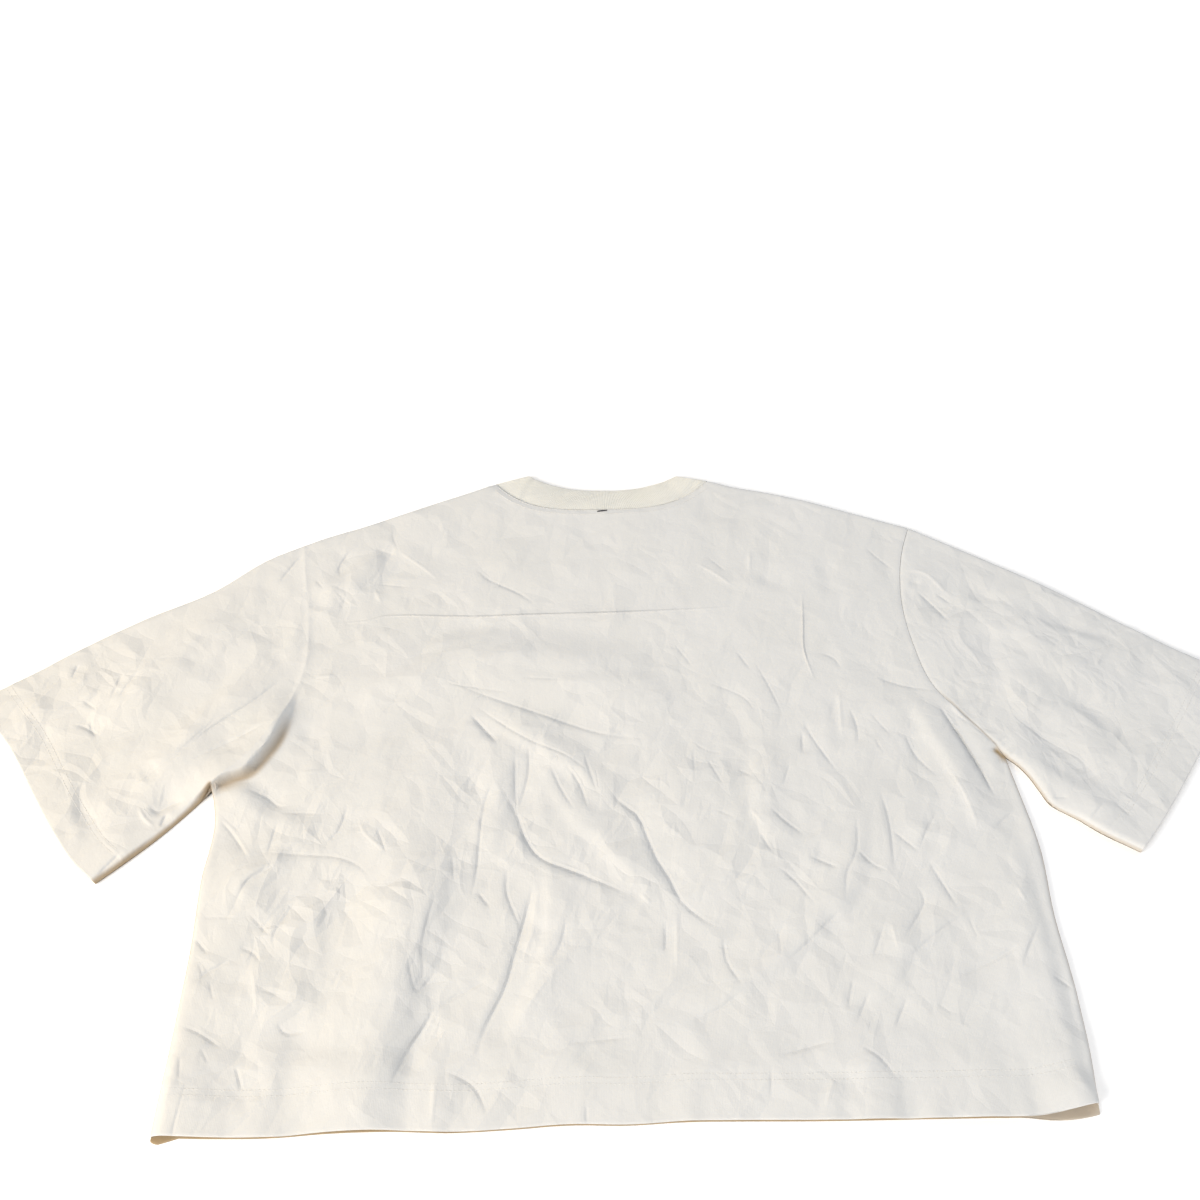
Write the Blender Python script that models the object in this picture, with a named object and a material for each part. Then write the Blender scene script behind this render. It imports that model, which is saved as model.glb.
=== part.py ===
"""A boxy jersey t-shirt laid out flat, back side up, cut and sewn from five pieces.

The front panel lies flat underneath. The back panel lies on it and carries the folds. Each
sleeve is one piece of cloth sewn into a tube and pressed flat, and the collar is one ring of
rib that turns over at the two neck points. +X runs along the hem, +Y from hem to collar and
+Z up from the surface that the shirt lies on. Sizes are millimetres until a mesh is made.
"""

import bpy
import numpy as np

MM = 0.001

# Cloth
WALL = 1.4  # one layer of jersey, measured straight up
RIB_WALL = 1.8  # the doubled rib of the collar
GAP = 0.3  # between two pieces at a seam, and between two layers at an edge
TURN = 1.0  # extra thickness where an edge is turned under and stitched
HEM_DEPTH = 29.0  # turned cloth at the hem
CUFF_DEPTH = 27.0  # turned cloth at a sleeve's end
TURN_STEP = 1.5  # width over which the turned cloth ends

# How the upper layer lies on the lower one
PUFF = 2.6  # air between the layers away from the edges
ROLL_WIDTH = 15.0  # distance from a closed edge over which the upper layer rises
BAND_FADE = 34.0  # distance over which the lift of a turned edge fades out
NECK_LIFT = RIB_WALL - WALL  # the back panel passes over the thicker front collar
NECK_REACH = (120.0, 190.0)  # distances from the neck over which that lift fades out

# Corners of the pieces as they lie, in mm
CORNERS = {
    "hem_left": (-306.0, -279.6),
    "hem_right": (322.0, -264.0),
    "underarm_left": (-309.0, -34.0),
    "underarm_right": (310.0, -6.0),
    "shoulder_left": (-269.0, 199.0),
    "shoulder_right": (265.0, 219.0),
    "neck_left": (-104.0, 269.0),
    "neck_right": (89.0, 273.0),
    "rib_left": (-74.0, 281.0),
    "rib_right": (61.0, 281.0),
    "cuff_top_left": (-512.0, 43.0),
    "cuff_top_right": (512.0, 66.0),
    "cuff_low_left": (-382.0, -107.0),
    "cuff_low_right": (397.0, -83.0),
}

# An edge runs from one corner to another. Its bows are how far it stands to the left of the
# straight line between them, in mm, at these shares of that line.
BOW_AT = np.array([0.0, 0.1, 0.3, 0.5, 0.7, 0.9, 1.0])
EDGES = {
    # name: (from, to, bow at 0.1, at 0.3, at 0.5, at 0.7, at 0.9)
    "hem": ("hem_left", "hem_right", -1.4, -1.6, -0.5, 0.5, -2.5),
    "side_left": ("hem_left", "underarm_left", -1.0, -3.0, -4.5, -3.5, -6.0),
    "side_right": ("hem_right", "underarm_right", -3.0, -6.0, -5.0, -8.0, -3.0),
    "armhole_left": ("underarm_left", "shoulder_left", -17.0, -35.3, -38.0, -26.2, -8.2),
    "armhole_right": ("underarm_right", "shoulder_right", 9.6, 33.7, 37.2, 31.0, 13.7),
    "shoulder_left": ("shoulder_left", "neck_left", 1.0, 0.0, 0.0, 0.0, -0.5),
    "shoulder_right": ("shoulder_right", "neck_right", -0.6, -1.8, -3.0, -2.0, 1.0),
    "sleeve_top_left": ("shoulder_left", "cuff_top_left", -3.0, 2.5, -2.5, -3.0, 0.0),
    "sleeve_top_right": ("shoulder_right", "cuff_top_right", 2.6, 5.3, 5.2, 3.0, 0.6),
    "sleeve_low_left": ("underarm_left", "cuff_low_left", 0.0, 0.0, 0.0, 0.0, 0.0),
    "sleeve_low_right": ("underarm_right", "cuff_low_right", 1.0, -4.0, -9.0, -6.0, -2.0),
    "cuff_left": ("cuff_low_left", "cuff_top_left", 4.0, 4.5, 2.0, -1.5, 0.0),
    "cuff_right": ("cuff_low_right", "cuff_top_right", 0.0, 1.0, 1.5, 1.0, 0.0),
}

# A neckline hangs below the straight line between two corners by depth * (1 - |2f - 1|**power)
NECKLINES = {
    # name: (from, to, depth in mm, power)
    "back_seam": ("neck_left", "neck_right", 29.0, 3.5),
    "back_rim": ("rib_left", "rib_right", 17.5, 2.5),
    "front_seam": ("neck_left", "neck_right", 95.0, 2.2),
    "front_rim": ("rib_left", "rib_right", 83.0, 2.2),
}

# The upper layer comes down to the lower one along these closed edges
CLOSED_EDGES = (
    "side_left",
    "side_right",
    "shoulder_left",
    "shoulder_right",
    "sleeve_top_left",
    "sleeve_top_right",
    "sleeve_low_left",
    "sleeve_low_right",
)

# The largest folds. Each is a ridge along a path, highest in the middle of it and ending
# softly; left and right are how wide it is on each side, walking along the path, in mm.
FOLDS = (
    # (path, height, left, right)
    # the long fold from the left chest down to the hem, steep towards the middle
    (((-146, 30), (-151, -96), (-163, -170), (-177, -236), (-168, -310)), 11.0, 24, 54),
    # its small neighbour at the hem
    (((-112, -190), (-121, -240), (-119, -310)), 4.0, 18, 14),
    # the fold right of the dark crease below the middle
    (((-48, -76), (-44, -140), (-56, -190), (-80, -240)), 5.5, 32, 10),
    # the broad swell across the chest
    (((-252, 26), (-190, 52), (-130, 76), (-60, 78), (-9, 68), (80, 56)), 7.0, 26, 42),
    # the slanting folds that leave it towards the middle
    (((-112, 44), (-70, 14), (-30, -14), (10, -60)), 4.0, 26, 15),
    (((-60, 0), (-30, -50), (16, -100), (50, -140)), 3.5, 24, 16),
    # the left sleeve standing up beside its seam, steep towards the body
    (((-248, 76), (-264, 38), (-284, 8), (-322, -24)), 12.0, 14, 50),
    # the soft tent between the left armhole and the chest
    (((-258, 170), (-226, 150), (-190, 190)), 4.0, 24, 22),
    # the ridge beside the right armhole and down the side
    (((230, 74), (250, 30), (266, -20), (286, -90)), 9.0, 18, 26),
    # the right sleeve's rolled lower part
    (((286, 36), (322, -6), (352, -38), (396, -74)), 7.0, 24, 14),
    # the slanting fold across the lower right, and the one beside it
    (((192, -20), (184, -84), (172, -118), (138, -152), (100, -176), (40, -208)), 5.0, 11, 32),
    (((262, -110), (240, -140), (206, -160), (190, -200)), 4.0, 14, 26),
    (((120, 20), (116, -40), (128, -96)), 3.5, 22, 14),
    # the loose loop along the right side, and the one along the left
    (((308, -40), (311, -110), (312, -190), (310, -300)), 5.0, 16, 12),
    (((-296, -56), (-291, -130), (-292, -210), (-296, -300)), 4.0, 12, 16),
    # the puff below the left underarm, and the fold under it
    (((-304, -44), (-280, -42), (-260, -70)), 5.5, 12, 17),
    (((-236, -88), (-262, -106), (-276, -130)), 3.5, 12, 18),
    # long soft folds of the sleeves
    (((-290, 150), (-350, 90), (-430, 0)), 4.0, 40, 34),
    (((-270, 80), (-330, 10), (-380, -60)), 4.5, 28, 26),
    (((296, 160), (360, 96), (446, 30)), 4.0, 36, 40),
    (((300, 90), (350, 40), (410, -20)), 3.5, 26, 26),
    # waves that leave the hem
    (((64, -200), (58, -250), (56, -310)), 3.0, 24, 24),
    (((160, -200), (172, -246), (168, -310)), 3.5, 22, 22),
    (((250, -200), (262, -250), (262, -310)), 3.0, 26, 26),
    (((-244, -210), (-236, -250), (-234, -310)), 3.0, 22, 22),
)

# How finely the solids are divided
SHOULDER_CELLS = 12
NECK_CELLS = 16
SIDE_ROWS = 19
ARMHOLE_ROWS = 15
FRONT_SHOULDER_CELLS = 4
FRONT_SIDE_ROWS = 5
SLEEVE_ROWS = 15
FOLD_STEPS = 16
EDGE_STEPS = 24

MATERIALS = {
    # name: (colour, roughness)
    "jersey": ((0.86, 0.85, 0.83, 1.0), 0.92),
    "rib": ((0.84, 0.83, 0.81, 1.0), 0.9),
}


def clear_scene():
    for thing in list(bpy.data.objects):
        bpy.data.objects.remove(thing, do_unlink=True)


def smooth_step(x):
    x = np.clip(x, 0.0, 1.0)
    return x * x * (3.0 - 2.0 * x)


def spline(at, knots, values):
    """Smooth curve through values at knots, read at each of at: cubic pieces whose slope at a
    knot is the slope between its neighbours."""
    slopes = np.gradient(values, knots, axis=0)
    piece = np.clip(np.searchsorted(knots, at, side="right") - 1, 0, len(knots) - 2)
    span = knots[piece + 1] - knots[piece]
    s = (at - knots[piece]) / span
    if values.ndim > 1:
        s, span = s[:, None], span[:, None]
    start, end = values[piece], values[piece + 1]
    return (
        start * (1 + 2 * s) * (1 - s) ** 2
        + end * s * s * (3 - 2 * s)
        + span * (slopes[piece] * s * (1 - s) ** 2 - slopes[piece + 1] * s * s * (1 - s))
    )


def edge(name, shares):
    """Points of an edge at shares of the straight line between its corners."""
    first, last, *bows = EDGES[name]
    start, end = np.array(CORNERS[first]), np.array(CORNERS[last])
    along = end - start
    left = np.array([-along[1], along[0]]) / np.hypot(*along)
    bow = spline(shares, BOW_AT, np.array([0.0, *bows, 0.0]))
    return start + shares[:, None] * along + bow[:, None] * left


def neckline(name, shares):
    """Points of a neckline at shares of the straight line between its corners."""
    first, last, depth, power = NECKLINES[name]
    start, end = np.array(CORNERS[first]), np.array(CORNERS[last])
    points = start + shares[:, None] * (end - start)
    points[:, 1] -= depth * (1 - np.abs(2 * shares - 1) ** power)
    return points


def nearest(points, path):
    """For each point: its distance to a path, positive to the left of it, and how far along
    the path the nearest spot is, as a share of its length."""
    lengths = np.hypot(*np.diff(path, axis=0).T)
    reached = np.concatenate([[0.0], np.cumsum(lengths)])
    best = np.full(points.shape[:-1], np.inf)
    side = np.ones_like(best)
    share = np.zeros_like(best)
    for start, end, length, before in zip(path[:-1], path[1:], lengths, reached):
        along = (end - start) / length
        offset = points - start
        walked = np.clip(offset @ along, 0.0, length)
        away = np.hypot(*np.moveaxis(offset - walked[..., None] * along, -1, 0))
        closer = away < best - 1e-9
        left = along[0] * offset[..., 1] - along[1] * offset[..., 0]
        best = np.where(closer, away, best)
        side = np.where(closer, np.where(left < 0, -1.0, 1.0), side)
        share = np.where(closer, (before + walked) / reached[-1], share)
    return best * side, share


def ridge(points, path, height, left, right):
    """Height of a fold at each point: a cosine hump across its path, which swells from both
    ends of the path to its full height at a third of the way in."""
    path = np.array(path, float)
    knots = np.linspace(0.0, 1.0, len(path))
    route = spline(np.linspace(0.0, 1.0, FOLD_STEPS + 1), knots, path)
    distance, share = nearest(points, route)
    reach = np.where(distance > 0, left, right)
    across = 0.5 + 0.5 * np.cos(np.pi * np.clip(np.abs(distance) / reach, 0.0, 1.0))
    return height * across * smooth_step(3 * share) * smooth_step(3 - 3 * share)


def distance_to(points, *names):
    shares = np.linspace(0.0, 1.0, EDGE_STEPS + 1)
    return np.min([np.abs(nearest(points, edge(name, shares))[0]) for name in names], axis=0)


def lift(points):
    """Height of the upper layer's underside above the surface, at plan points. It starts from
    one wall and a gap, rises over turned edges and the collar, and rolls up from the closed
    edges to the air between the layers and the folds."""
    turned = np.minimum(
        distance_to(points, "hem") - HEM_DEPTH,
        distance_to(points, "cuff_left", "cuff_right") - CUFF_DEPTH,
    )
    band = 2 * TURN * (1 - smooth_step((turned - GAP) / BAND_FADE))
    middle = (np.array(CORNERS["neck_left"]) + np.array(CORNERS["neck_right"])) / 2
    from_neck = np.hypot(*np.moveaxis(points - middle, -1, 0))
    near, far = NECK_REACH
    collar = NECK_LIFT * (1 - smooth_step((from_neck - near) / (far - near)))
    rise = np.full(points.shape[:-1], PUFF)
    for path, height, left, right in FOLDS:
        rise += ridge(points, path, height, left, right)
    roll = np.ones_like(rise)
    for name in CLOSED_EDGES:
        near_edge = np.clip(distance_to(points, name) / ROLL_WIDTH, 0.0, 1.0)
        roll *= np.sqrt(1 - (1 - near_edge) ** 2)
    share = np.linspace(0.0, 1.0, EDGE_STEPS + 1)
    to_seam = np.abs(nearest(points, neckline("back_seam", share))[0])
    roll *= np.sqrt(1 - (1 - np.clip(to_seam / ROLL_WIDTH, 0.0, 1.0)) ** 2)
    return WALL + GAP + band + collar + roll * rise


def shrunk(outline, amount):
    """A run of seam points moved sideways, to the right of it, by amount."""
    along = np.gradient(outline, axis=0)
    along /= np.hypot(*along.T)[:, None]
    return outline + amount * np.column_stack([along[:, 1], -along[:, 0]])


def patch(bottom, top, left, right):
    """Grid of plan points, rows from bottom to top, that meets four edges: straight lines from
    left to right, moved by how the bottom and top edges leave their own straight lines."""
    u = (bottom[:, 0] - bottom[0, 0]) / (bottom[-1, 0] - bottom[0, 0])
    v = (left[:, 1] - left[0, 1]) / (left[-1, 1] - left[0, 1])
    v = v + (right[:, 1] - right[0, 1]) / (right[-1, 1] - right[0, 1])
    u, v = u[None, :, None], v[:, None, None] / 2
    flat = (1 - u) * left[:, None] + u * right[:, None]
    low = bottom[None] - (1 - u) * bottom[0] - u * bottom[-1]
    high = top[None] - (1 - u) * top[0] - u * top[-1]
    return flat + (1 - v) * low + v * high


def body_rows(side, armhole, side_rows, seam):
    """Points up one side of a panel: hem, end of the turned cloth, underarm, shoulder. The
    armhole is moved by seam, away from the sleeve."""
    start, end = np.array(CORNERS[EDGES[side][0]]), np.array(CORNERS[EDGES[side][1]])
    depth = np.array([0.0, HEM_DEPTH - TURN_STEP, HEM_DEPTH]) / np.hypot(*(end - start))
    shares = np.concatenate([depth, np.linspace(depth[-1], 1.0, side_rows + 1)[1:]])
    upper = shrunk(edge(armhole, np.linspace(0.0, 1.0, ARMHOLE_ROWS + 1)), seam)
    return np.concatenate([edge(side, shares)[:-1], upper])


def panel_plan(seam_name, shoulder_cells, side_rows):
    """Plan grid of the front or back panel."""
    shoulders = np.linspace(0.0, 1.0, shoulder_cells + 1)
    left = edge("shoulder_left", shoulders)
    right = edge("shoulder_right", shoulders)[::-1]
    neck = shrunk(neckline(seam_name, np.linspace(0.0, 1.0, NECK_CELLS + 1)), GAP / 2)
    top = np.concatenate([left[:-1], neck, right[1:]])
    left_side = body_rows("side_left", "armhole_left", side_rows, GAP / 2)
    right_side = body_rows("side_right", "armhole_right", side_rows, -GAP / 2)
    top[0], top[-1] = left_side[-1], right_side[-1]
    bottom = edge("hem", (top[:, 0] - top[0, 0]) / (top[-1, 0] - top[0, 0]))
    return patch(bottom, top, left_side, right_side)


def triangles(first, rows, columns, closed):
    """Two triangles for each cell of a grid of vertices numbered from first."""
    row, column = np.meshgrid(np.arange(rows - 1), np.arange(columns - (not closed)), indexing="ij")
    a = first + row * columns + column
    b = first + row * columns + (column + 1) % columns
    c, d = b + columns, a + columns
    return np.concatenate(
        [np.stack([a, b, c], -1).reshape(-1, 3), np.stack([a, c, d], -1).reshape(-1, 3)]
    )


def bridge(one, other):
    """Two triangles for each step between two runs of vertices."""
    a, b, c, d = one[:-1], one[1:], other[1:], other[:-1]
    return np.concatenate([np.stack([a, b, c], -1), np.stack([a, c, d], -1)])


def make_solid(name, outer, inner, closed, material):
    """One closed wall between two grids of points. In a closed grid the last column meets the
    first; an open one gets a rim on all four sides."""
    rows, columns = outer.shape[:2]
    count = rows * columns
    numbers = np.arange(count).reshape(rows, columns)
    faces = [triangles(0, rows, columns, closed)]
    faces.append(triangles(count, rows, columns, closed)[:, ::-1])
    first, last = numbers[0], numbers[-1]
    if closed:
        first, last = np.append(first, first[0]), np.append(last, last[0])
    else:
        faces.append(bridge(numbers[::-1, 0], numbers[::-1, 0] + count)[:, ::-1])
        faces.append(bridge(numbers[:, -1], numbers[:, -1] + count)[:, ::-1])
    faces.append(bridge(first, first + count)[:, ::-1])
    faces.append(bridge(last[::-1], last[::-1] + count)[:, ::-1])
    points = np.concatenate([outer.reshape(-1, 3), inner.reshape(-1, 3)]) * MM
    faces = np.concatenate(faces)
    if np.linalg.det(points[faces]).sum() < 0:
        faces = faces[:, ::-1]
    mesh = bpy.data.meshes.new(name)
    mesh.from_pydata(points.tolist(), [], faces.tolist())
    mesh.validate()
    mesh.shade_smooth()
    mesh.set_sharp_from_angle(angle=np.radians(50))
    mesh.materials.append(material)
    thing = bpy.data.objects.new(name, mesh)
    bpy.context.scene.collection.objects.link(thing)
    return thing


def with_height(plan, height):
    return np.dstack([plan, np.broadcast_to(height, plan.shape[:2])])


def make_material(name):
    colour, roughness = MATERIALS[name]
    material = bpy.data.materials.new(name)
    material.use_nodes = True
    shader = material.node_tree.nodes["Principled BSDF"]
    shader.inputs["Base Color"].default_value = colour
    shader.inputs["Roughness"].default_value = roughness
    material.diffuse_color = colour
    return material


def turned_rows(count, rows):
    """Extra thickness of each row of a panel or sleeve: the first or last rows are turned."""
    extra = np.zeros(count)
    extra[rows] = TURN
    return extra[:, None]


def make_front_panel(cloth):
    plan = panel_plan("front_seam", FRONT_SHOULDER_CELLS, FRONT_SIDE_ROWS)
    top = WALL + turned_rows(len(plan), slice(0, 2))
    return make_solid("front_panel", with_height(plan, top), with_height(plan, 0.0), False, cloth)


def make_back_panel(cloth):
    plan = panel_plan("back_seam", SHOULDER_CELLS, SIDE_ROWS)
    under = lift(plan)
    turned = turned_rows(len(plan), slice(0, 2))
    outer = with_height(plan, under + WALL)
    return make_solid("back_panel", outer, with_height(plan, under - turned), False, cloth)


def along_chord(points, neighbours, distance):
    """Points at a distance from an edge, on the way to the neighbouring column."""
    step = neighbours - points
    return points + step * (distance / np.hypot(*step.T))[:, None]


def flat_tube(upper, lower, under, wall, turned):
    """Outer and inner surface of a tube pressed flat. upper and lower are plan grids of its two
    halves, whose first and last columns are the two folds that they share; under is the height
    of the upper half's underside. Around each fold the wall turns over in half a circle."""
    outer, inner = [], []
    thick = wall + turned

    def add(surface, plan, height):
        surface.append(np.column_stack([plan, np.broadcast_to(height, len(plan))]))

    def add_fold(here, there):
        radius = (under[:, here] + wall) / 2
        tucked = (upper[:, there] + lower[:, there]) / 2
        add(outer, upper[:, here], radius)
        add(inner, along_chord(upper[:, here], tucked, thick), radius)

    def add_upper(plan, column):
        add(outer, plan, under[:, column] + wall)
        add(inner, plan, under[:, column] - turned)

    def add_lower(plan):
        add(outer, plan, 0.0)
        add(inner, plan, thick)

    def rolled(half, here, there):
        return along_chord(half[:, here], half[:, there], (under[:, here] + wall) / 2)

    add_fold(0, 1)
    add_upper(rolled(upper, 0, 1), 0)
    for column in range(1, upper.shape[1] - 1):
        add_upper(upper[:, column], column)
    add_upper(rolled(upper, -1, -2), -1)
    add_fold(-1, -2)
    add_lower(rolled(lower, -1, -2))
    for column in range(lower.shape[1] - 2, 0, -1):
        add_lower(lower[:, column])
    add_lower(rolled(lower, 0, 1))
    return np.stack(outer, 1), np.stack(inner, 1)


def make_sleeve(side, cloth):
    """One cut piece, sewn into a tube along the lower edge and into the armhole."""
    sign = 1 if side == "left" else -1
    top_ends = [np.array(CORNERS[corner]) for corner in EDGES[f"sleeve_top_{side}"][:2]]
    depth = np.array([CUFF_DEPTH, CUFF_DEPTH - TURN_STEP, 0.0]) / np.hypot(*(top_ends[1] - top_ends[0]))
    shares = np.concatenate([np.linspace(0.0, 1 - depth[0], SLEEVE_ROWS)[:-1], 1 - depth])
    across = np.linspace(0.0, 1.0, ARMHOLE_ROWS + 1)
    armhole = shrunk(edge(f"armhole_{side}", across), -sign * GAP / 2)
    cuff = edge(f"cuff_{side}", across)
    low, top = edge(f"sleeve_low_{side}", shares), edge(f"sleeve_top_{side}", shares)
    low[0], top[0] = armhole[0], armhole[-1]
    plan = patch(low, top, armhole, cuff).transpose(1, 0, 2)
    turned = turned_rows(len(plan), slice(-2, None))[:, 0]
    outer, inner = flat_tube(plan, plan, lift(plan), WALL, turned)
    return make_solid(f"sleeve_{side}", outer, inner, True, cloth)


def make_neck_rib(cloth):
    """The collar: the back half lies on top, the front half under the back panel."""
    shares = np.linspace(0.0, 1.0, NECK_CELLS + 1)
    halves = []
    for seam_name, rim_name in (("back_seam", "back_rim"), ("front_seam", "front_rim")):
        seam = shrunk(neckline(seam_name, shares), -GAP / 2)
        rim = neckline(rim_name, shares)
        halves.append(np.stack([seam, (seam + rim) / 2, rim]))
    under = np.full(halves[0].shape[:2], RIB_WALL + GAP)
    outer, inner = flat_tube(halves[0], halves[1], under, RIB_WALL, np.zeros(len(under)))
    return make_solid("neck_rib", outer, inner, True, cloth)


def main():
    clear_scene()
    jersey, rib = make_material("jersey"), make_material("rib")
    make_front_panel(jersey)
    make_back_panel(jersey)
    make_sleeve("left", jersey)
    make_sleeve("right", jersey)
    make_neck_rib(rib)


main()
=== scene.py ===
# %% [markdown]
# # A boxy jersey t-shirt, laid out flat with its back up
#
# The shirt is five pieces of cloth: a front, a back, two sleeves and a ring of rib. It lies on
# a pale surface, so the front is flat underneath and the back shows, with all its creases.
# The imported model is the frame: it says where each piece is. This script dresses it, and works
# each piece of cloth out again as a finer surface.

import bpy
import numpy as np
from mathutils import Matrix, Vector
from mathutils.geometry import delaunay_2d_cdt


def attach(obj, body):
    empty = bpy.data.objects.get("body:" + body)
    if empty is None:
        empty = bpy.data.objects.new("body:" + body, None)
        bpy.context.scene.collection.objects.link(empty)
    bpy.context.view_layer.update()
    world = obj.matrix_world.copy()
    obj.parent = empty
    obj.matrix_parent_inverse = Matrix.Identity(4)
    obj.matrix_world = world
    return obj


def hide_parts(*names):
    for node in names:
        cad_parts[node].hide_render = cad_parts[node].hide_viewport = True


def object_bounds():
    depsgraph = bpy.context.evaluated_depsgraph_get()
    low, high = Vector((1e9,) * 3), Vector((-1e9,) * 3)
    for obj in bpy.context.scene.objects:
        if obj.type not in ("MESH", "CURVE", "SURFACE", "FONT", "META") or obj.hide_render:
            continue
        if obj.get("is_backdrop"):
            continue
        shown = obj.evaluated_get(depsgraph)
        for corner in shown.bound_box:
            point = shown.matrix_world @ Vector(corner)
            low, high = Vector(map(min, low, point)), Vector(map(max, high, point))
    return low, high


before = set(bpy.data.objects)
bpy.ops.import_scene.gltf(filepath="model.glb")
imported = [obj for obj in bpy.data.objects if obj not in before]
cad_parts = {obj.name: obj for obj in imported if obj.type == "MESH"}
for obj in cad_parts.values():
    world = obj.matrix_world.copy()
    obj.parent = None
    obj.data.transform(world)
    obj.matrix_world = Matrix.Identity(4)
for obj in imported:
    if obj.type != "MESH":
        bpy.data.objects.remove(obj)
cad_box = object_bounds()
print("packed model, corners in metres:", cad_box)

# %% [markdown]
# ## The camera
#
# The shirt is seen from above its hem, steeply from the front. A camera aimed along +Y and
# tilted down does that, and its place also tells where a raised fold seems to lie.

# %% Camera
MM = 0.001
CAMERA_FOOT = np.array([-9.0, -426.0])  # the spot of the floor below the camera, in mm
CAMERA_HEIGHT = 857.0
CAMERA_TILT = 33.63  # degrees from straight down


def make_camera():
    """A lens as long as its sensor is wide, which sees 53 degrees across."""
    camera = bpy.data.objects.new("camera", bpy.data.cameras.new("camera"))
    camera.data.lens = 36.0
    camera.data.sensor_width = 36.0
    camera.location = (*CAMERA_FOOT * MM, CAMERA_HEIGHT * MM)
    camera.rotation_euler = (np.radians(CAMERA_TILT), 0.0, 0.0)
    bpy.context.scene.collection.objects.link(camera)
    bpy.context.scene.camera = camera
    print("camera at", tuple(round(x, 3) for x in camera.location))


make_camera()

# %% [markdown]
# ## Light and floor
#
# White cloth on a white floor shows only by its shade, so the light has to come mostly from
# one side. A wide lamp, nearly white, stands low on the left like a window, a cool one stands
# behind on the right, and an even sky fills the rest. Two small ones are for what those miss: a
# warm one beside the left sleeve, and one before the hem. Lamps with a size give soft shadow
# edges. A sun alone would light both sleeves alike, and here the left one is brighter.

# %% Floor, lamps and sky
FLOOR_SIZE = 12.0
FLOOR_GLOW = 0.2  # a lit table, so that the shadows beside the cloth stay faint
SKY = ((0.975, 0.972, 0.985, 1.0), 0.43)
LAMPS = (
    # (name, place, aim, width, power in watts, colour)
    ("window", (-3.3, -2.1, 2.4), (0.0, 0.0, 0.0), 2.0, 140.0, (1.0, 0.988, 0.968)),
    ("warm_lamp", (-1.15, -0.25, 0.62), (-0.45, -0.05, 0.0), 0.9, 4.0, (1.0, 0.6, 0.03)),
    ("front_fill", (0.25, -1.5, 1.0), (0.15, -0.3, 0.0), 0.9, 5.0, (1.0, 0.985, 0.95)),
    ("sky_side", (2.2, 2.8, 3.0), (0.1, 0.0, 0.0), 2.4, 54.0, (0.9, 0.95, 1.0)),
)


def plain_material(name, colour, roughness):
    material = bpy.data.materials.new(name)
    material.use_nodes = True
    shader = material.node_tree.nodes["Principled BSDF"]
    shader.inputs["Base Color"].default_value = colour
    shader.inputs["Roughness"].default_value = roughness
    return material


def make_floor():
    half = FLOOR_SIZE / 2
    mesh = bpy.data.meshes.new("floor")
    corners = [(-half, -half, 0), (half, -half, 0), (half, half, 0), (-half, half, 0)]
    mesh.from_pydata(corners, [], [(0, 1, 2, 3)])
    card = plain_material("white_card", (1.0, 1.0, 1.0, 1.0), 0.9)
    card.node_tree.nodes["Principled BSDF"].inputs["Emission Color"].default_value = (1.0,) * 4
    card.node_tree.nodes["Principled BSDF"].inputs["Emission Strength"].default_value = FLOOR_GLOW
    mesh.materials.append(card)
    floor = bpy.data.objects.new("floor", mesh)
    bpy.context.scene.collection.objects.link(floor)
    floor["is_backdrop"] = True


def make_lamp(name, place, aim, width, power, colour):
    """A square lamp that faces its aim."""
    lamp = bpy.data.objects.new(name, bpy.data.lights.new(name, "AREA"))
    lamp.data.shape = "SQUARE"
    lamp.data.size = width
    lamp.data.energy = power
    lamp.data.color = colour
    lamp.location = place
    away = np.subtract(place, aim)
    flat = np.hypot(away[0], away[1])
    lamp.rotation_euler = (np.arctan2(flat, away[2]), 0.0, np.arctan2(away[0], -away[1]))
    bpy.context.scene.collection.objects.link(lamp)


def make_sky():
    world = bpy.data.worlds.new("sky")
    world.use_nodes = True
    background = world.node_tree.nodes["Background"]
    background.inputs["Color"].default_value = SKY[0]
    background.inputs["Strength"].default_value = SKY[1]
    bpy.context.scene.world = world
    bpy.context.scene.view_settings.view_transform = "Standard"


make_floor()
make_sky()
for lamp in LAMPS:
    make_lamp(*lamp)
print("lamps:", [lamp[0] for lamp in LAMPS])

# %% [markdown]
# ## How the shirt is cut
#
# A pattern cutter would give corners, and how far each edge bows from the straight line
# between two of them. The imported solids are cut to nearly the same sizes: here the hem and the
# sleeves' edges have a few more waves. All sizes are millimetres until a mesh is made. The
# origin lies under the middle of the shirt, +X runs along the hem and +Y towards the collar.

# %% Cloth, corners and edges
WALL = 1.4  # one layer of jersey, measured straight up
RIB_WALL = 1.8  # the doubled rib of the collar
GAP = 0.3  # between two pieces at a seam, and between two layers
SEAM_GAP = -0.3  # at the neck, where the back laps a little over the rib
TURN = 1.0  # extra thickness where an edge is turned under
HEM_DEPTH = 29.0
CUFF_DEPTH = 27.0
PUFF = 2.6  # air between the layers away from the edges
ROLL_WIDTH = 4.4  # distance from a closed edge over which the upper layer rises
NECK_ROLL = 15.0  # the same, towards the neck seam
BAND_FADE = 34.0  # distance over which the lift of a turned edge fades out
NECK_LIFT = RIB_WALL - WALL
NECK_REACH = (120.0, 190.0)  # distances from the neck over which that lift fades out

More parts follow.
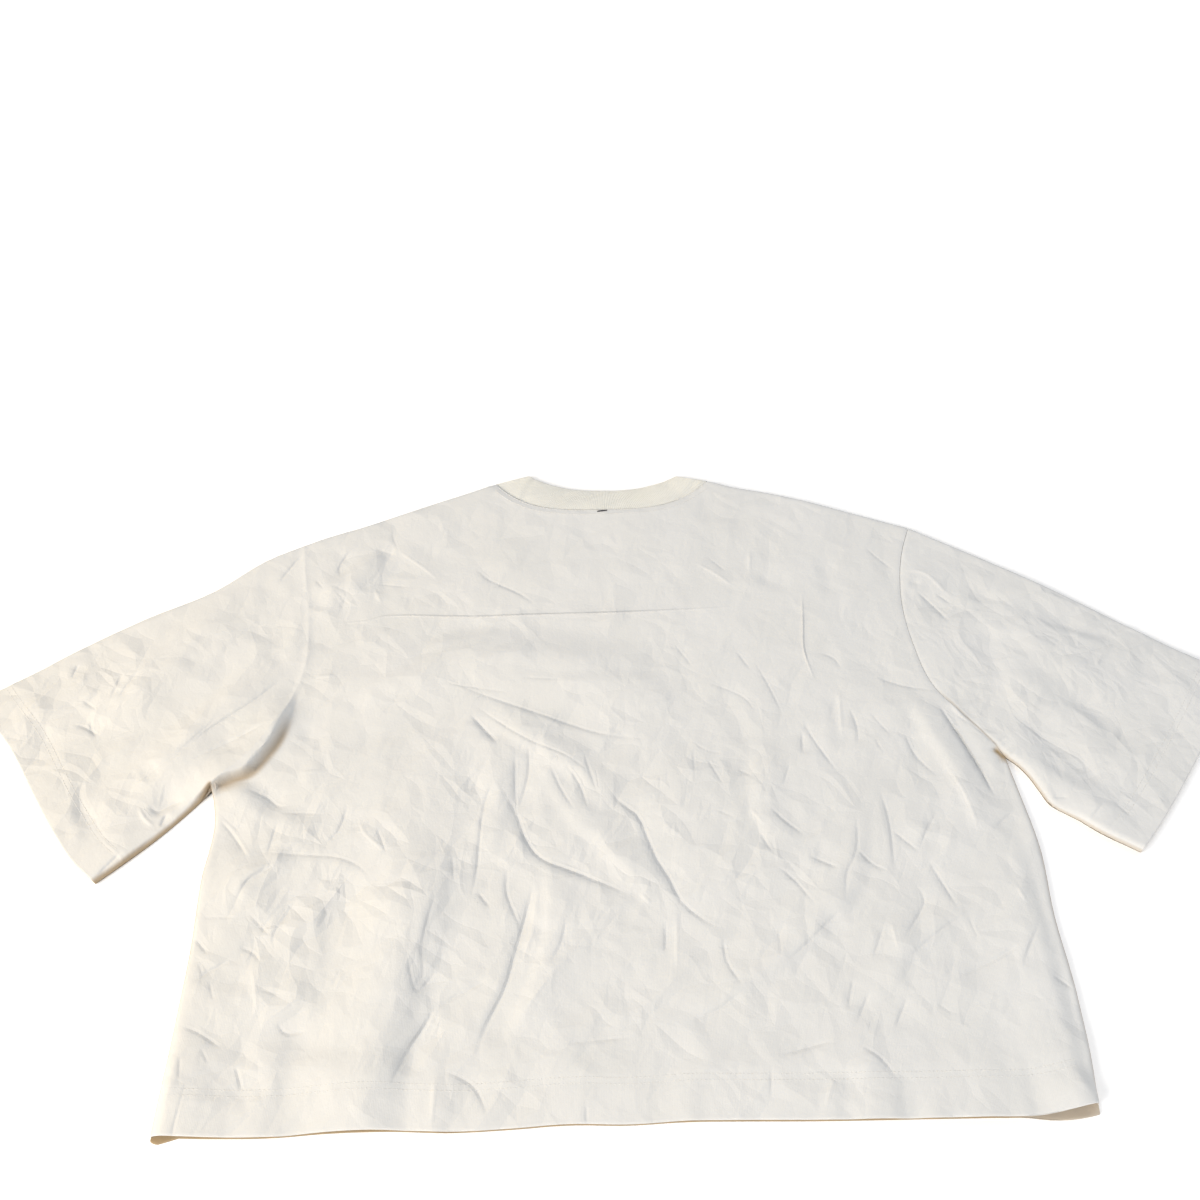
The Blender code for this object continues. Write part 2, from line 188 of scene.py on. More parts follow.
CORNERS = {
    "hem_left": (-305.0, -283.2),
    "hem_right": (324.0, -262.5),
    "underarm_left": (-309.0, -34.0),
    "underarm_right": (310.0, -6.0),
    "shoulder_left": (-269.0, 199.0),
    "shoulder_right": (265.0, 219.0),
    "neck_left": (-104.0, 269.0),
    "neck_right": (89.0, 273.0),
    "rib_left": (-75.0, 278.6),
    "rib_right": (61.0, 278.4),
    "cuff_top_left": (-512.0, 43.0),
    "cuff_top_right": (512.0, 66.0),
    "cuff_low_left": (-382.0, -109.5),
    "cuff_low_right": (397.0, -85.0),
}
BOW_AT = np.array([0.0, 0.1, 0.3, 0.5, 0.7, 0.9, 1.0])  # even shares where there are more bows
EDGES = {
    # name: (from, to, how far it stands to the left of its straight line at each share)
    "hem": (
        "hem_left", "hem_right",
        -1.9, -2.7, -1.1, -1.3, -3.4, -2.8, -1.3, -2.7, -1.8, -2.7, -3.9, -4.7, -5.2, -5.8, -5.9,
    ),
    "side_left": ("hem_left", "underarm_left", -1.0, -3.0, -4.5, -3.5, -6.0),
    "side_right": ("hem_right", "underarm_right", -3.0, -6.0, -5.0, -8.0, -3.0),
    "armhole_left": ("underarm_left", "shoulder_left", -17.0, -35.3, -38.0, -26.2, -8.2),
    "armhole_right": ("underarm_right", "shoulder_right", 9.6, 33.7, 37.2, 31.0, 13.7),
    "shoulder_left": ("shoulder_left", "neck_left", 1.0, 0.0, 0.0, 0.0, -0.5),
    "shoulder_right": ("shoulder_right", "neck_right", -0.6, -1.8, -3.0, -2.0, 1.0),
    "sleeve_top_left": ("shoulder_left", "cuff_top_left", -3.0, 2.5, -2.5, -3.0, 0.0),
    "sleeve_top_right": ("shoulder_right", "cuff_top_right", 1.4, 3.6, 3.6, 1.6, 0.0),
    "sleeve_low_left": ("underarm_left", "cuff_low_left", 1.5, 3.0, 3.4, 2.6, 1.0),
    "sleeve_low_right": (
        "underarm_right", "cuff_low_right",
        0.0, -2.5, -7.2, -11.8, -10.4, -8.2, -7.3, -5.5, -2.7,
    ),
    "cuff_left": ("cuff_low_left", "cuff_top_left", 4.0, 4.5, 2.0, -1.5, 0.0),
    "cuff_right": ("cuff_low_right", "cuff_top_right", -1.6, -3.0, -3.0, -2.0, 0.0),
}
NECKLINES = {
    # name: (from, to, depth below the straight line, power of its round)
    "back_seam": ("neck_left", "neck_right", 31.5, 3.5),
    "back_rim": ("rib_left", "rib_right", 17.5, 2.5),
    "front_seam": ("neck_left", "neck_right", 95.0, 2.2),
    "front_rim": ("rib_left", "rib_right", 83.0, 2.2),
}
CLOSED_EDGES = [
    f"{name}_{side}"
    for name in ("side", "shoulder", "sleeve_top", "sleeve_low")
    for side in ("left", "right")
]
EDGE_SHARES = np.linspace(0.0, 1.0, 25)  # where an edge is read to measure distances from it


def smooth_step(x):
    """0 below 0, 1 above 1, and the soft S curve x*x*(3 - 2x) between them."""
    x = np.clip(x, 0.0, 1.0)
    return x * x * (3.0 - 2.0 * x)


def spline(at, knots, values):
    """Smooth curve through values at knots, read at each of at: cubic pieces whose slope at a
    knot is the slope between its neighbours."""
    slopes = np.gradient(values, knots, axis=0)
    piece = np.clip(np.searchsorted(knots, at, side="right") - 1, 0, len(knots) - 2)
    span = knots[piece + 1] - knots[piece]
    s = (at - knots[piece]) / span
    if values.ndim > 1:
        s, span = s[:, None], span[:, None]
    start, end = values[piece], values[piece + 1]
    return (
        start * (1 + 2 * s) * (1 - s) ** 2
        + end * s * s * (3 - 2 * s)
        + span * (slopes[piece] * s * (1 - s) ** 2 - slopes[piece + 1] * s * s * (1 - s))
    )


def edge(name, shares):
    """Points of an edge at shares of the straight line between its corners."""
    first, last, *bows = EDGES[name]
    start, end = np.array(CORNERS[first]), np.array(CORNERS[last])
    along = end - start
    left = np.array([-along[1], along[0]]) / np.hypot(*along)
    knots = BOW_AT if len(bows) == 5 else np.linspace(0.0, 1.0, len(bows) + 2)
    bow = spline(shares, knots, np.array([0.0, *bows, 0.0]))
    return start + shares[:, None] * along + bow[:, None] * left


def neckline(name, shares):
    """Points of a neckline, which hangs below the straight line between its corners by
    depth * (1 - |2f - 1|**power) at a share f."""
    first, last, depth, power = NECKLINES[name]
    start, end = np.array(CORNERS[first]), np.array(CORNERS[last])
    points = start + shares[:, None] * (end - start)
    points[:, 1] -= depth * (1 - np.abs(2 * shares - 1) ** power)
    return points


def step_lengths(path):
    return np.hypot(*np.diff(path, axis=0).T)


def walk_along(path):
    """How far along a path each of its points is."""
    return np.concatenate([[0.0], np.cumsum(step_lengths(path))])


def nearest(points, path):
    """For each point: its distance to a path, positive to the left of it, and how far along
    the path the nearest spot is, as a share of its length."""
    lengths, reached = step_lengths(path), walk_along(path)
    best = np.full(points.shape[:-1], np.inf)
    side = np.ones_like(best)
    share = np.zeros_like(best)
    for start, end, length, before in zip(path[:-1], path[1:], lengths, reached):
        along = (end - start) / length
        offset = points - start
        walked = np.clip(offset @ along, 0.0, length)
        away = np.hypot(*np.moveaxis(offset - walked[..., None] * along, -1, 0))
        closer = away < best - 1e-9
        left = along[0] * offset[..., 1] - along[1] * offset[..., 0]
        best = np.where(closer, away, best)
        side = np.where(closer, np.where(left < 0, -1.0, 1.0), side)
        share = np.where(closer, (before + walked) / reached[-1], share)
    return best * side, share


def distance_to(points, *names):
    """The least distance from each point to any of the named edges."""
    return np.min([np.abs(nearest(points, edge(name, EDGE_SHARES))[0]) for name in names], axis=0)


for name in ("hem", "side_left", "armhole_right", "cuff_left"):
    print(f"{name} is {step_lengths(edge(name, EDGE_SHARES)).sum():.0f} mm long")

# %% [markdown]
# ## The large folds
#
# Laid-out cloth never lies quite flat: it keeps a long fold from the chest to the hem, a swell
# over the chest and a sleeve that stands up beside its seam. Each is a ridge along a path.
# Across the path it is a soft hump, with its own width on each side, so one flank can be
# steep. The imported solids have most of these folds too, a little plainer.

# %% Folds
FOLDS = (
    # (path, height, left, right); left and right are seen walking along the path
    # the long fold from the left chest down to the hem, steep towards the middle
    (((-142, 10), (-147, -70), (-152, -140), (-160, -200)), 2.8, 34, 50),
    (
        ((-124, -62), (-131, -100), (-137, -136), (-153, -190), (-163, -241), (-159, -330)),
        7.5,
        28,
        58,
    ),
    # its small neighbour at the hem
    (((-112, -200), (-121, -240), (-119, -310)), 1.2, 26, 20),
    # the fold right of the dark crease below the middle
    (((-48, -76), (-44, -140), (-56, -190), (-80, -240)), 2.4, 38, 9),
    # the broad swell across the chest
    (((-252, 26), (-190, 52), (-130, 76), (-60, 78), (-9, 68), (80, 56)), 5.5, 38, 46),
    # the slanting folds that leave it towards the middle
    (((-112, 44), (-70, 14), (-30, -14), (10, -60)), 3.0, 26, 13),
    (((-60, 0), (-30, -50), (16, -100), (50, -140)), 2.0, 26, 13),
    # the fold left of the middle, dark towards the right
    (((-70, 10), (-86, -24), (-88, -66), (-94, -104)), 2.4, 17, 30),
    # the left sleeve standing up beside its seam, steep towards the body
    (
        ((-256, 56), (-261, 30), (-269, 4), (-280, -13), (-284, -20), (-302, -27), (-332, -53)),
        9.5,
        4.5,
        44,
    ),
    # the soft tent between the left armhole and the chest
    (((-258, 170), (-226, 150), (-190, 190)), 4.0, 24, 22),
    # the ridge beside the right armhole and down the side
    (((238, 60), (249, 30), (262, -2), (271, -26), (281, -70)), 3.0, 26, 12),
    # the right sleeve's rolled lower part
    (((290, 40), (324, -2), (354, -34), (400, -72)), 3.4, 24, 22),
    # the small gap at the right underarm
    (((300, 2), (305, -4), (310, -10)), -4.0, 4, 4),
    # the slanting fold across the lower right, and the ones beside it
    (((192, -20), (184, -84), (172, -118), (138, -152), (100, -176), (40, -208)), 2.4, 12, 32),
    (((262, -110), (240, -140), (206, -160), (190, -200)), 2.2, 14, 26),
    (((120, 20), (116, -40), (128, -96)), 1.8, 22, 14),
    # the loose loop along the right side, and the one along the left
    (((294, -40), (300, -110), (306, -190), (312, -300)), 3.0, 14, 46),
    (((-300, -56), (-294, -130), (-294, -210), (-296, -300)), 1.4, 34, 14),
    # the puff below the left underarm, and the fold under it
    (((-304, -44), (-280, -42), (-260, -70)), 3.0, 14, 20),
    (((-236, -88), (-262, -106), (-276, -130)), 3.5, 12, 18),
    # long soft folds of the sleeves
    (((-290, 150), (-350, 90), (-430, 0)), 4.7, 38, 34),
    (((-270, 80), (-330, 10), (-380, -60)), 5.2, 28, 26),
    (((296, 160), (360, 96), (446, 30)), 2.6, 36, 40),
    (((300, 90), (350, 40), (410, -20)), 2.2, 26, 26),
    # waves that leave the hem
    (((64, -200), (58, -250), (56, -310)), 1.2, 24, 24),
    (((160, -200), (172, -246), (168, -310)), 1.3, 22, 22),
    (((240, -200), (248, -250), (246, -310)), 1.0, 26, 26),
    (((-244, -210), (-236, -250), (-234, -310)), 1.8, 22, 22),
    # the two corners of the hem, where the upper layer stands open
    (((-292, -205), (-295, -262), (-295, -350)), 4.6, 56, 10),
    (((302, -236), (318, -262), (332, -292)), 4.5, 12, 34),
)
FOLD_STEPS = 16
FOLD_TAPER = 1 / 3  # share of a fold's length over which each end fades
CRISP_POWER = 1.35  # of a crisp crease's flank: 1 would be a straight slope


def along_path(path):
    """A smooth run of points through the few that are given."""
    path = np.array(path, float)
    return spline(np.linspace(0, 1, FOLD_STEPS + 1), np.linspace(0, 1, len(path)), path)


def add_ridge(height, points, route, rise, left, right, crisp, taper):
    """Adds a ridge, or a trough where rise is negative. Across the route it falls from its
    crest to nothing over left or right: as a soft hump, or as a crisp crease with a sharp
    line, mixed by crisp. Both ends swell over a taper share of the route. Only points near
    the route are worked out."""
    reach = max(left, right)
    near = np.all((points > route.min(0) - reach) & (points < route.max(0) + reach), axis=-1)
    distance, share = nearest(points[near], route)
    across = 1 - np.clip(np.abs(distance) / np.where(distance > 0, left, right), 0.0, 1.0)
    profile = (1 - crisp) * smooth_step(across) + crisp * across**CRISP_POWER
    height[near] += rise * profile * smooth_step(share / taper) * smooth_step((1 - share) / taper)


def fold_height(points):
    height = np.zeros(points.shape[:-1])
    for path, rise, left, right in FOLDS:
        add_ridge(height, points, along_path(path), rise, left, right, 0.0, FOLD_TAPER)
    return height


print(len(FOLDS), "folds, the highest", max(fold[1] for fold in FOLDS), "mm")

# %% [markdown]
# ## The creases
#
# Between the folds the jersey is creased all over, because it was packed small and not ironed.
# Cloth simulation would give creases of its own, in other places. Here the ones that show are
# laid as short paths of eight kinds. Paths are read from above as they are seen: in mm right
# of and away from the spot below the camera. A crease on a raised fold seems to lie further
# away than it is, so each point of the cloth is first moved to where it is seen.

# %% Kinds of crease and their paths
CREASE_KINDS = {
    # name: (rise, width on the lit side, width on the far side, crispness)
    "pressed": (0.55, 1.8, 3.0, 1.0),
    "fine": (-0.5, 2.4, 11.0, 1.0),
    "fold": (-1.1, 3.4, 19.0, 1.0),
    "deep": (-2.1, 5.0, 24.0, 0.95),
    "sharp": (-2.4, 3.0, 12.0, 1.0),
    "soft": (-1.2, 11.0, 19.0, 0.2),
    "dent": (-1.3, 9.0, 12.0, 0.5),
    "crest": (0.9, 3.4, 15.0, 1.0),
}
CREASES = {
    "pressed": (
        # the old fold line across the shoulders, and one down the right side
        ((-246, 544), (-201, 548), (-177, 554), (-110, 553), (-62, 555), (28, 558), (136, 564)),
        ((174, 581), (172, 550), (170, 522), (174, 500), (178, 486)),
    ),
    "fine": (
        # lower left
        ((-247, 374), (-210, 373)), ((-293, 292), (-260, 292)), ((-286, 305), (-290, 296)),
        ((-287, 260), (-282, 249)), ((-277, 247), (-271, 231)), ((-288, 197), (-285, 177)),
        ((-280, 184), (-283, 150), (-283, 130)), ((-275, 201), (-267, 190)),
        ((-241, 240), (-223, 236)), ((-28, 203), (28, 208)), ((-9, 166), (-9, 150)),
        # lower right
        ((89, 377), (104, 370)), ((269, 292), (273, 277)), ((236, 231), (247, 223)),
        ((117, 190), (115, 166)),
        # upper left
        ((-248, 593), (-238, 581)), ((-195, 587), (-163, 583)), ((-68, 494), (-31, 492)),
        ((-336, 423), (-304, 462)), ((-185, 647), (-183, 635), (-177, 621)),
        ((-128, 500), (-124, 489), (-102, 484), (-70, 479)),
        # upper right
        ((219, 439), (225, 423)), ((223, 496), (247, 486), (277, 481)), ((74, 429), (74, 400)),
        ((83, 423), (97, 396)), ((47, 407), (46, 392)), ((349, 387), (363, 387)),
        ((373, 366), (390, 384)), ((396, 384), (408, 370)), ((233, 629), (243, 615), (259, 599)),
        ((95, 615), (111, 599)), ((180, 518), (194, 512), (200, 500)), ((61, 528), (79, 500)),
        ((113, 520), (125, 500)), ((127, 512), (138, 486), (146, 463), (146, 453)),
        ((85, 490), (107, 481), (119, 473), (127, 459)), ((217, 463), (233, 439)),
        ((71, 437), (85, 427), (99, 425)), ((150, 417), (142, 396)), ((107, 411), (119, 405)),
    ),
    "fold": (
        # left side, from the underarm down
        ((-246, 368), (-250, 338)), ((-240, 334), (-260, 322), (-269, 301)),
        ((-276, 395), (-258, 387), (-247, 379), (-238, 381)),
        ((-194, 383), (-198, 361), (-209, 346)), ((-171, 364), (-160, 340)),
        ((-260, 343), (-223, 340), (-197, 338), (-180, 331), (-168, 319)),
        ((-221, 309), (-230, 292), (-236, 279), (-233, 266)),
        ((-258, 296), (-247, 286), (-238, 277)), ((-293, 277), (-280, 264)),
        ((-260, 270), (-249, 266), (-241, 257)), ((-262, 262), (-277, 253), (-290, 244)),
        ((-293, 216), (-277, 210), (-258, 199)), ((-249, 190), (-245, 181), (-241, 171)),
        ((-292, 370), (-278, 355), (-263, 336)), ((-269, 314), (-256, 323), (-240, 334)),
        ((-225, 218), (-217, 210), (-202, 212)),
        # beside the long fold
        ((-121, 314), (-128, 273), (-126, 249), (-138, 236)),
        ((-139, 268), (-130, 240), (-119, 249), (-117, 260)), ((-111, 340), (-108, 318)),
        ((-69, 333), (-69, 312), (-63, 296), (-56, 281)), ((-24, 294), (-28, 273), (-37, 257)),
        ((-91, 312), (-80, 299)), ((-108, 186), (-91, 179), (-82, 171), (-74, 155)),
        ((-76, 249), (-108, 231), (-115, 223)),
        # the fan below the chest
        ((-81, 410), (-89, 380), (-91, 352), (-92, 325), (-97, 298)),
        ((-57, 436), (-56, 406), (-63, 374)), ((-67, 428), (-66, 398), (-65, 376)),
        ((-40, 416), (-30, 394), (-18, 374)), ((-29, 418), (-16, 398), (-8, 374)),
        ((-13, 426), (-2, 390)),
        # lower right
        ((48, 290), (47, 264)), ((89, 281), (91, 260), (102, 242)),
        ((60, 218), (80, 225), (103, 240)),
        ((126, 257), (139, 264), (156, 279), (169, 290), (180, 299)),
        ((180, 299), (184, 325), (191, 338), (195, 351), (197, 377)),
        ((130, 333), (143, 322), (159, 301)), ((156, 340), (180, 329)), ((121, 359), (130, 342)),
        ((130, 381), (139, 370), (156, 355)), ((130, 286), (130, 262)), ((208, 290), (195, 260)),
        ((267, 294), (245, 281), (228, 268), (219, 260)), ((232, 320), (238, 303), (219, 275)),
        ((245, 338), (254, 318), (264, 296)), ((221, 361), (241, 342)),
        ((260, 377), (245, 353), (241, 342)), ((217, 396), (221, 366), (220, 325)),
        ((193, 346), (204, 333), (217, 327)), ((308, 275), (280, 260), (249, 247)),
        ((321, 290), (308, 268), (301, 255)), ((299, 361), (321, 377)), ((321, 251), (334, 240)),
        ((204, 212), (217, 236)), ((178, 216), (191, 240)), ((173, 225), (180, 249)),
        ((121, 195), (152, 203), (163, 205)), ((178, 203), (191, 195), (202, 181)),
        # chest and shoulders
        ((-219, 623), (-227, 605), (-225, 592)), ((-110, 605), (-96, 591), (-70, 577), (-51, 562)),
        ((-132, 496), (-104, 481), (-57, 463), (-31, 453), (-3, 443), (20, 439), (48, 437)),
        ((-108, 473), (-90, 459), (-70, 445), (-53, 435), (-23, 421), (0, 400)),
        ((164, 457), (168, 441), (188, 405)), ((162, 445), (160, 423)),
        ((202, 467), (206, 447), (204, 430)), ((243, 445), (249, 423), (265, 403)),
        # left sleeve
        ((-432, 507), (-434, 491)), ((-424, 450), (-414, 448), (-400, 440)),
        ((-410, 456), (-406, 444), (-400, 440)), ((-420, 472), (-408, 464)),
        ((-393, 499), (-398, 474)), ((-381, 501), (-389, 481), (-393, 472)),
        ((-261, 619), (-271, 601), (-279, 585)), ((-332, 374), (-335, 362)),
        ((-375, 322), (-367, 333), (-359, 344)),
        ((-371, 320), (-358, 333), (-346, 345), (-335, 360)),
        ((-336, 423), (-311, 447), (-280, 473), (-254, 499)),
        ((-321, 420), (-292, 436), (-267, 453)),
        # right sleeve
        ((271, 582), (286, 562), (298, 546)), ((288, 578), (302, 564)),
        ((282, 464), (298, 450), (314, 433)),
    ),
    "deep": (
        # at the foot of the long fold, and the two creases that meet below the middle
        ((-113, 232), (-122, 214), (-131, 199), (-143, 174)),
        ((-48, 325), (-51, 308), (-55, 288), (-61, 264), (-67, 240), (-80, 212), (-87, 186)),
        ((-80, 402), (-64, 373), (-56, 352), (-44, 337), (-22, 328), (2, 318), (32, 305)),
        (
            (0, 406), (14, 384), (28, 373), (35, 357), (42, 338), (52, 321), (60, 304),
            (76, 290), (96, 280),
        ),
        ((-106, 461), (-80, 432)),
        # beside the right underarm
        ((311, 431), (320, 420)),
        # the tuck at the left sleeve's lower edge
        ((-349, 381), (-340, 375), (-332, 379), (-319, 386)),
    ),
    "sharp": (
        # below the right armhole
        ((274, 470), (290, 431), (299, 408), (307, 384)),
    ),
    "soft": (
        ((-138, 240), (-150, 221), (-154, 190), (-150, 164), (-139, 145)),
        ((-298, 175), (-276, 178), (-257, 176), (-238, 168), (-225, 145)),
        ((-284, 394), (-266, 386), (-248, 378), (-209, 373)),
        ((-422, 425), (-406, 401), (-394, 375), (-386, 355), (-378, 336)),
        ((-182, 327), (-197, 305), (-197, 268), (-189, 240)),
        ((-223, 195), (-202, 201), (-180, 199), (-163, 186)),
        ((-236, 465), (-205, 479), (-185, 496), (-169, 502), (-142, 516), (-106, 526)),
        ((-157, 526), (-130, 538), (-102, 544), (-63, 542)),
        ((-90, 512), (-74, 506), (-53, 502), (-23, 500), (28, 502), (49, 494), (79, 486)),
        ((-207, 425), (-191, 435), (-169, 445), (-146, 459), (-132, 465)),
        ((-236, 455), (-231, 423)), ((97, 692), (97, 670), (85, 655)),
        ((195, 619), (198, 589), (200, 570)), ((134, 601), (150, 589), (170, 583)),
        ((191, 492), (189, 419)), ((71, 190), (71, 145)), ((167, 190), (167, 145)),
        ((206, 190), (206, 145)), ((293, 200), (293, 145)),
        # left sleeve: below the top edge, then the rest
        ((-471, 477), (-434, 499), (-398, 528), (-363, 554), (-326, 579)),
        ((-342, 536), (-334, 528), (-347, 503)), ((-300, 593), (-285, 579), (-285, 562)),
        ((-304, 540), (-279, 534), (-255, 523)), ((-281, 523), (-259, 507)),
        ((-400, 440), (-390, 415), (-398, 379), (-380, 348)), ((-347, 415), (-361, 405)),
        # right sleeve, first along its roll
        ((289, 468), (312, 454), (330, 436), (356, 417), (378, 400), (405, 379)),
        ((262, 604), (330, 575), (400, 543), (470, 508)), ((322, 578), (329, 568), (324, 554)),
        ((339, 562), (349, 540), (331, 523)), ((314, 507), (333, 476)),
        ((384, 480), (400, 460), (416, 435)), ((451, 517), (447, 491)),
    ),
    "dent": (
        ((176, 297), (160, 284)), ((-198, 624), (-180, 617)), ((-228, 580), (-214, 564)),
        ((267, 589), (278, 587)),
    ),
    "crest": (
        ((-294, 370), (-280, 361), (-260, 335)), ((-236, 408), (-216, 409)),
        ((-356, 380), (-348, 369), (-338, 362)), ((280, 476), (296, 452), (314, 432)),
        ((-185, 371), (-178, 357), (-160, 342)), ((-249, 260), (-241, 229), (-245, 216)),
        ((-102, 355), (-104, 318), (-95, 303)), ((-45, 320), (-50, 281), (-56, 257)),
        ((-30, 257), (-43, 240), (-54, 223)), ((-112, 184), (-112, 148)), ((28, 312), (39, 301)),
        ((56, 298), (55, 251)), ((132, 357), (134, 333)), ((115, 379), (126, 364)),
        ((212, 290), (215, 268)), ((308, 318), (314, 303)),
        ((269, 420), (280, 398), (286, 377), (288, 355)), ((160, 184), (150, 160)),
        ((-181, 625), (-153, 603), (-138, 589)), ((-195, 583), (-187, 566)),
        ((-236, 494), (-217, 496)), ((132, 623), (130, 597)), ((81, 611), (99, 599), (117, 583)),
        ((30, 463), (59, 475)), ((195, 483), (193, 437)),
        ((261, 601), (282, 599), (298, 578), (306, 570)), ((347, 566), (384, 580)),
    ),
}
CREASE_LINES = {
    # kind: (depth of its sharp line, half of the line's width)
    "pressed": (0.7, 1.5),
    "fine": (0.26, 1.8),
    "fold": (0.42, 2.0),
    "deep": (0.75, 2.4),
    "sharp": (1.7, 2.0),
    "dent": (0.3, 2.4),
    "crest": (0.3, 2.2),
}
LIT_FROM = np.array([-0.9, -0.4])  # towards the window
CREASE_TAPER = 0.34  # share of a crease's length over which each end fades


def seen_from_camera(points, height):
    """Where a point at a height seems to lie on the floor, from the spot below the camera."""
    scale = CAMERA_HEIGHT / (CAMERA_HEIGHT - height)
    return (points - CAMERA_FOOT) * scale[..., None]


def crease_height(seen):
    """What the creases add at each point. The narrow flank is the one on the lit side of a
    trough, so that it reads as a dark line."""
    height = np.zeros(seen.shape[:-1])
    for kind, paths in CREASES.items():
        rise, lit, far, crisp = CREASE_KINDS[kind]
        for path in paths:
            route = along_path(path)
            along = route[-1] - route[0]
            left_is_lit = np.dot([-along[1], along[0]], LIT_FROM) > 0
            left, right = (lit, far) if left_is_lit else (far, lit)
            add_ridge(height, seen, route, rise, left, right, crisp, CREASE_TAPER)
    return height


LINE_REACH = 9.0  # distance from a crease within which its line is marked
LINE_FADE = (2.4, 5.0)  # distances over which its depth fades, well inside that
FAR = 1e3  # distance to the nearest line of an empty layer


def crease_layers():
    """Sorts the crease lines into three layers, each line where its neighbours are furthest
    away, because two close lines in one layer would blur each other."""
    layers = [[], [], []]
    for kind in CREASE_LINES:
        for path in CREASES[kind]:
            route = along_path(path)
            gaps = []
            for layer in layers:
                apart = [np.linalg.norm(route[:, None] - line, axis=-1).min() for _, line in layer]
                gaps.append(min(apart, default=FAR))
            layers[int(np.argmax(gaps))].append((kind, route))
    return layers


def crease_lines(seen):
    """For the material, in each layer: signed distance to the nearest crease line, as a share
    of its width, and the depth of that line, which fades along both ends and with distance."""
    away = np.full((len(seen), 3), LINE_REACH)
    depth = np.zeros((len(seen), 3))
    for layer, routes in enumerate(crease_layers()):
        for kind, route in routes:
            deep, width = CREASE_LINES[kind]
            low, high = route.min(0) - LINE_REACH, route.max(0) + LINE_REACH
            near = np.flatnonzero(np.all((seen > low) & (seen < high), axis=-1))
            distance, share = nearest(seen[near], route)
            ends = smooth_step(share / CREASE_TAPER) * smooth_step((1 - share) / CREASE_TAPER)
            start, end = LINE_FADE
            fade = 1 - smooth_step((np.abs(distance) - start) / (end - start))
            closer = np.abs(distance) / width < np.abs(away[near, layer])
            here = near[closer]
            away[here, layer] = distance[closer] / width
            depth[here, layer] = (np.sign(CREASE_KINDS[kind][0]) * deep * ends * fade)[closer]
    return away, depth


print({kind: len(paths) for kind, paths in CREASES.items()})

# %% [markdown]
# ## The facets between the creases
#
# Crumpled cloth breaks into many nearly flat facets that lean different ways. Nobody would
# place those one by one. Corners are dropped at random from a fixed seed, each a little higher
# or lower than the last, and a Delaunay triangulation joins them into a net of flat triangles.
# Two nets are added up, a wide one and a narrow one. How strong they are changes over the
# shirt: most at the middle and on the left, least at the shoulders.

# %% Facet nets
FACET_NETS = (
    # (seed, about how far apart the corners are, highest corner) in mm
    (3, 46.0, 1.75),
    (8, 24.0, 0.68),
)
NET_HALF = (560.0, 340.0)  # half of the field that a net covers
NET_STEP = 1.5  # between the spots at which a net's height is kept
STRAY = 0.48  # how far a corner may stand from the middle of its square, as a share of it
CRUMPLED = (
    # (x, y, how far it spreads, how strong) in mm from the middle of the shirt
    (0, -60, 120, 0.45),
    (160, -90, 110, 0.15),
    (-215, -130, 100, 0.6),
    (150, 100, 110, -0.15),
    (-190, 150, 80, 0.25),
    (-430, 20, 90, 0.6),
    (-330, -30, 70, -0.15),
    (350, -30, 60, -0.1),
    (360, 60, 120, 0.55),
)
EVEN_CRUMPLES = 0.4  # everywhere


def crumple_strength(points):
    """Sum of round patches, each strongest in its middle, over a little everywhere."""
    strength = np.full(points.shape[:-1], EVEN_CRUMPLES)
    for x, y, spread, strong in CRUMPLED:
        away = np.hypot(points[..., 0] - x, points[..., 1] - y)
        strength += strong * np.exp(-((away / spread) ** 2))
    return np.clip(strength, 0.0, 1.0)


def make_net(seed, pitch, highest):
    """Corners, one at random in each square of a grid, with their heights, and the triangles
    that join them."""
    rng = np.random.default_rng(seed)
    across, up = [np.arange(-half, half + pitch, pitch) for half in NET_HALF]
    squares = np.stack(np.meshgrid(across, up), -1).reshape(-1, 2)
    corners = squares + rng.uniform(-STRAY, STRAY, squares.shape) * pitch
    heights = rng.uniform(-1.0, 1.0, len(corners)) * highest
    triangles = delaunay_2d_cdt([Vector(corner) for corner in corners], [], [], 0, 1e-6)[2]
    return corners, heights, np.array(triangles)


def net_height(net):
    """Height of a net over a square grid: flat between the three corners of each triangle. A
    spot is in a triangle where its three shares of the corners are all positive."""
    corners, heights, triangles = net
    field = np.zeros([int(2 * half / NET_STEP) + 1 for half in NET_HALF])
    for triangle in triangles:
        places = (corners[triangle] + NET_HALF) / NET_STEP
        low = np.maximum(np.floor(places.min(0)).astype(int), 0)
        high = np.minimum(np.ceil(places.max(0)).astype(int) + 1, field.shape)
        if np.any(high <= low):
            continue
        spots = np.stack(np.meshgrid(*map(np.arange, low, high), indexing="ij"), -1)
        shares = (spots - places[0]) @ np.linalg.inv(places[1:] - places[0])
        inside = (shares.min(-1) >= 0) & (shares.sum(-1) <= 1)
        first, *others = heights[triangle]
        part = field[low[0] : high[0], low[1] : high[1]]
        part[inside] = (first + shares @ (np.array(others) - first))[inside]
    return field


FACETS = sum(net_height(make_net(*net)) for net in FACET_NETS)


def crumple_height(points):
    """The nets at each point, read between the four nearest spots of their grid."""
    place = np.clip((points + NET_HALF) / NET_STEP, 0, np.array(FACETS.shape) - 1.001)
    spot = place.astype(int)
    x, y = np.moveaxis(place - spot, -1, 0)
    i, j = np.moveaxis(spot, -1, 0)
    near = (1 - y) * FACETS[i, j] + y * FACETS[i, j + 1]
    far = (1 - y) * FACETS[i + 1, j] + y * FACETS[i + 1, j + 1]
    return ((1 - x) * near + x * far) * crumple_strength(points)


print("facets stand", round(float(FACETS.min()), 1), "to", round(float(FACETS.max()), 1), "mm high")

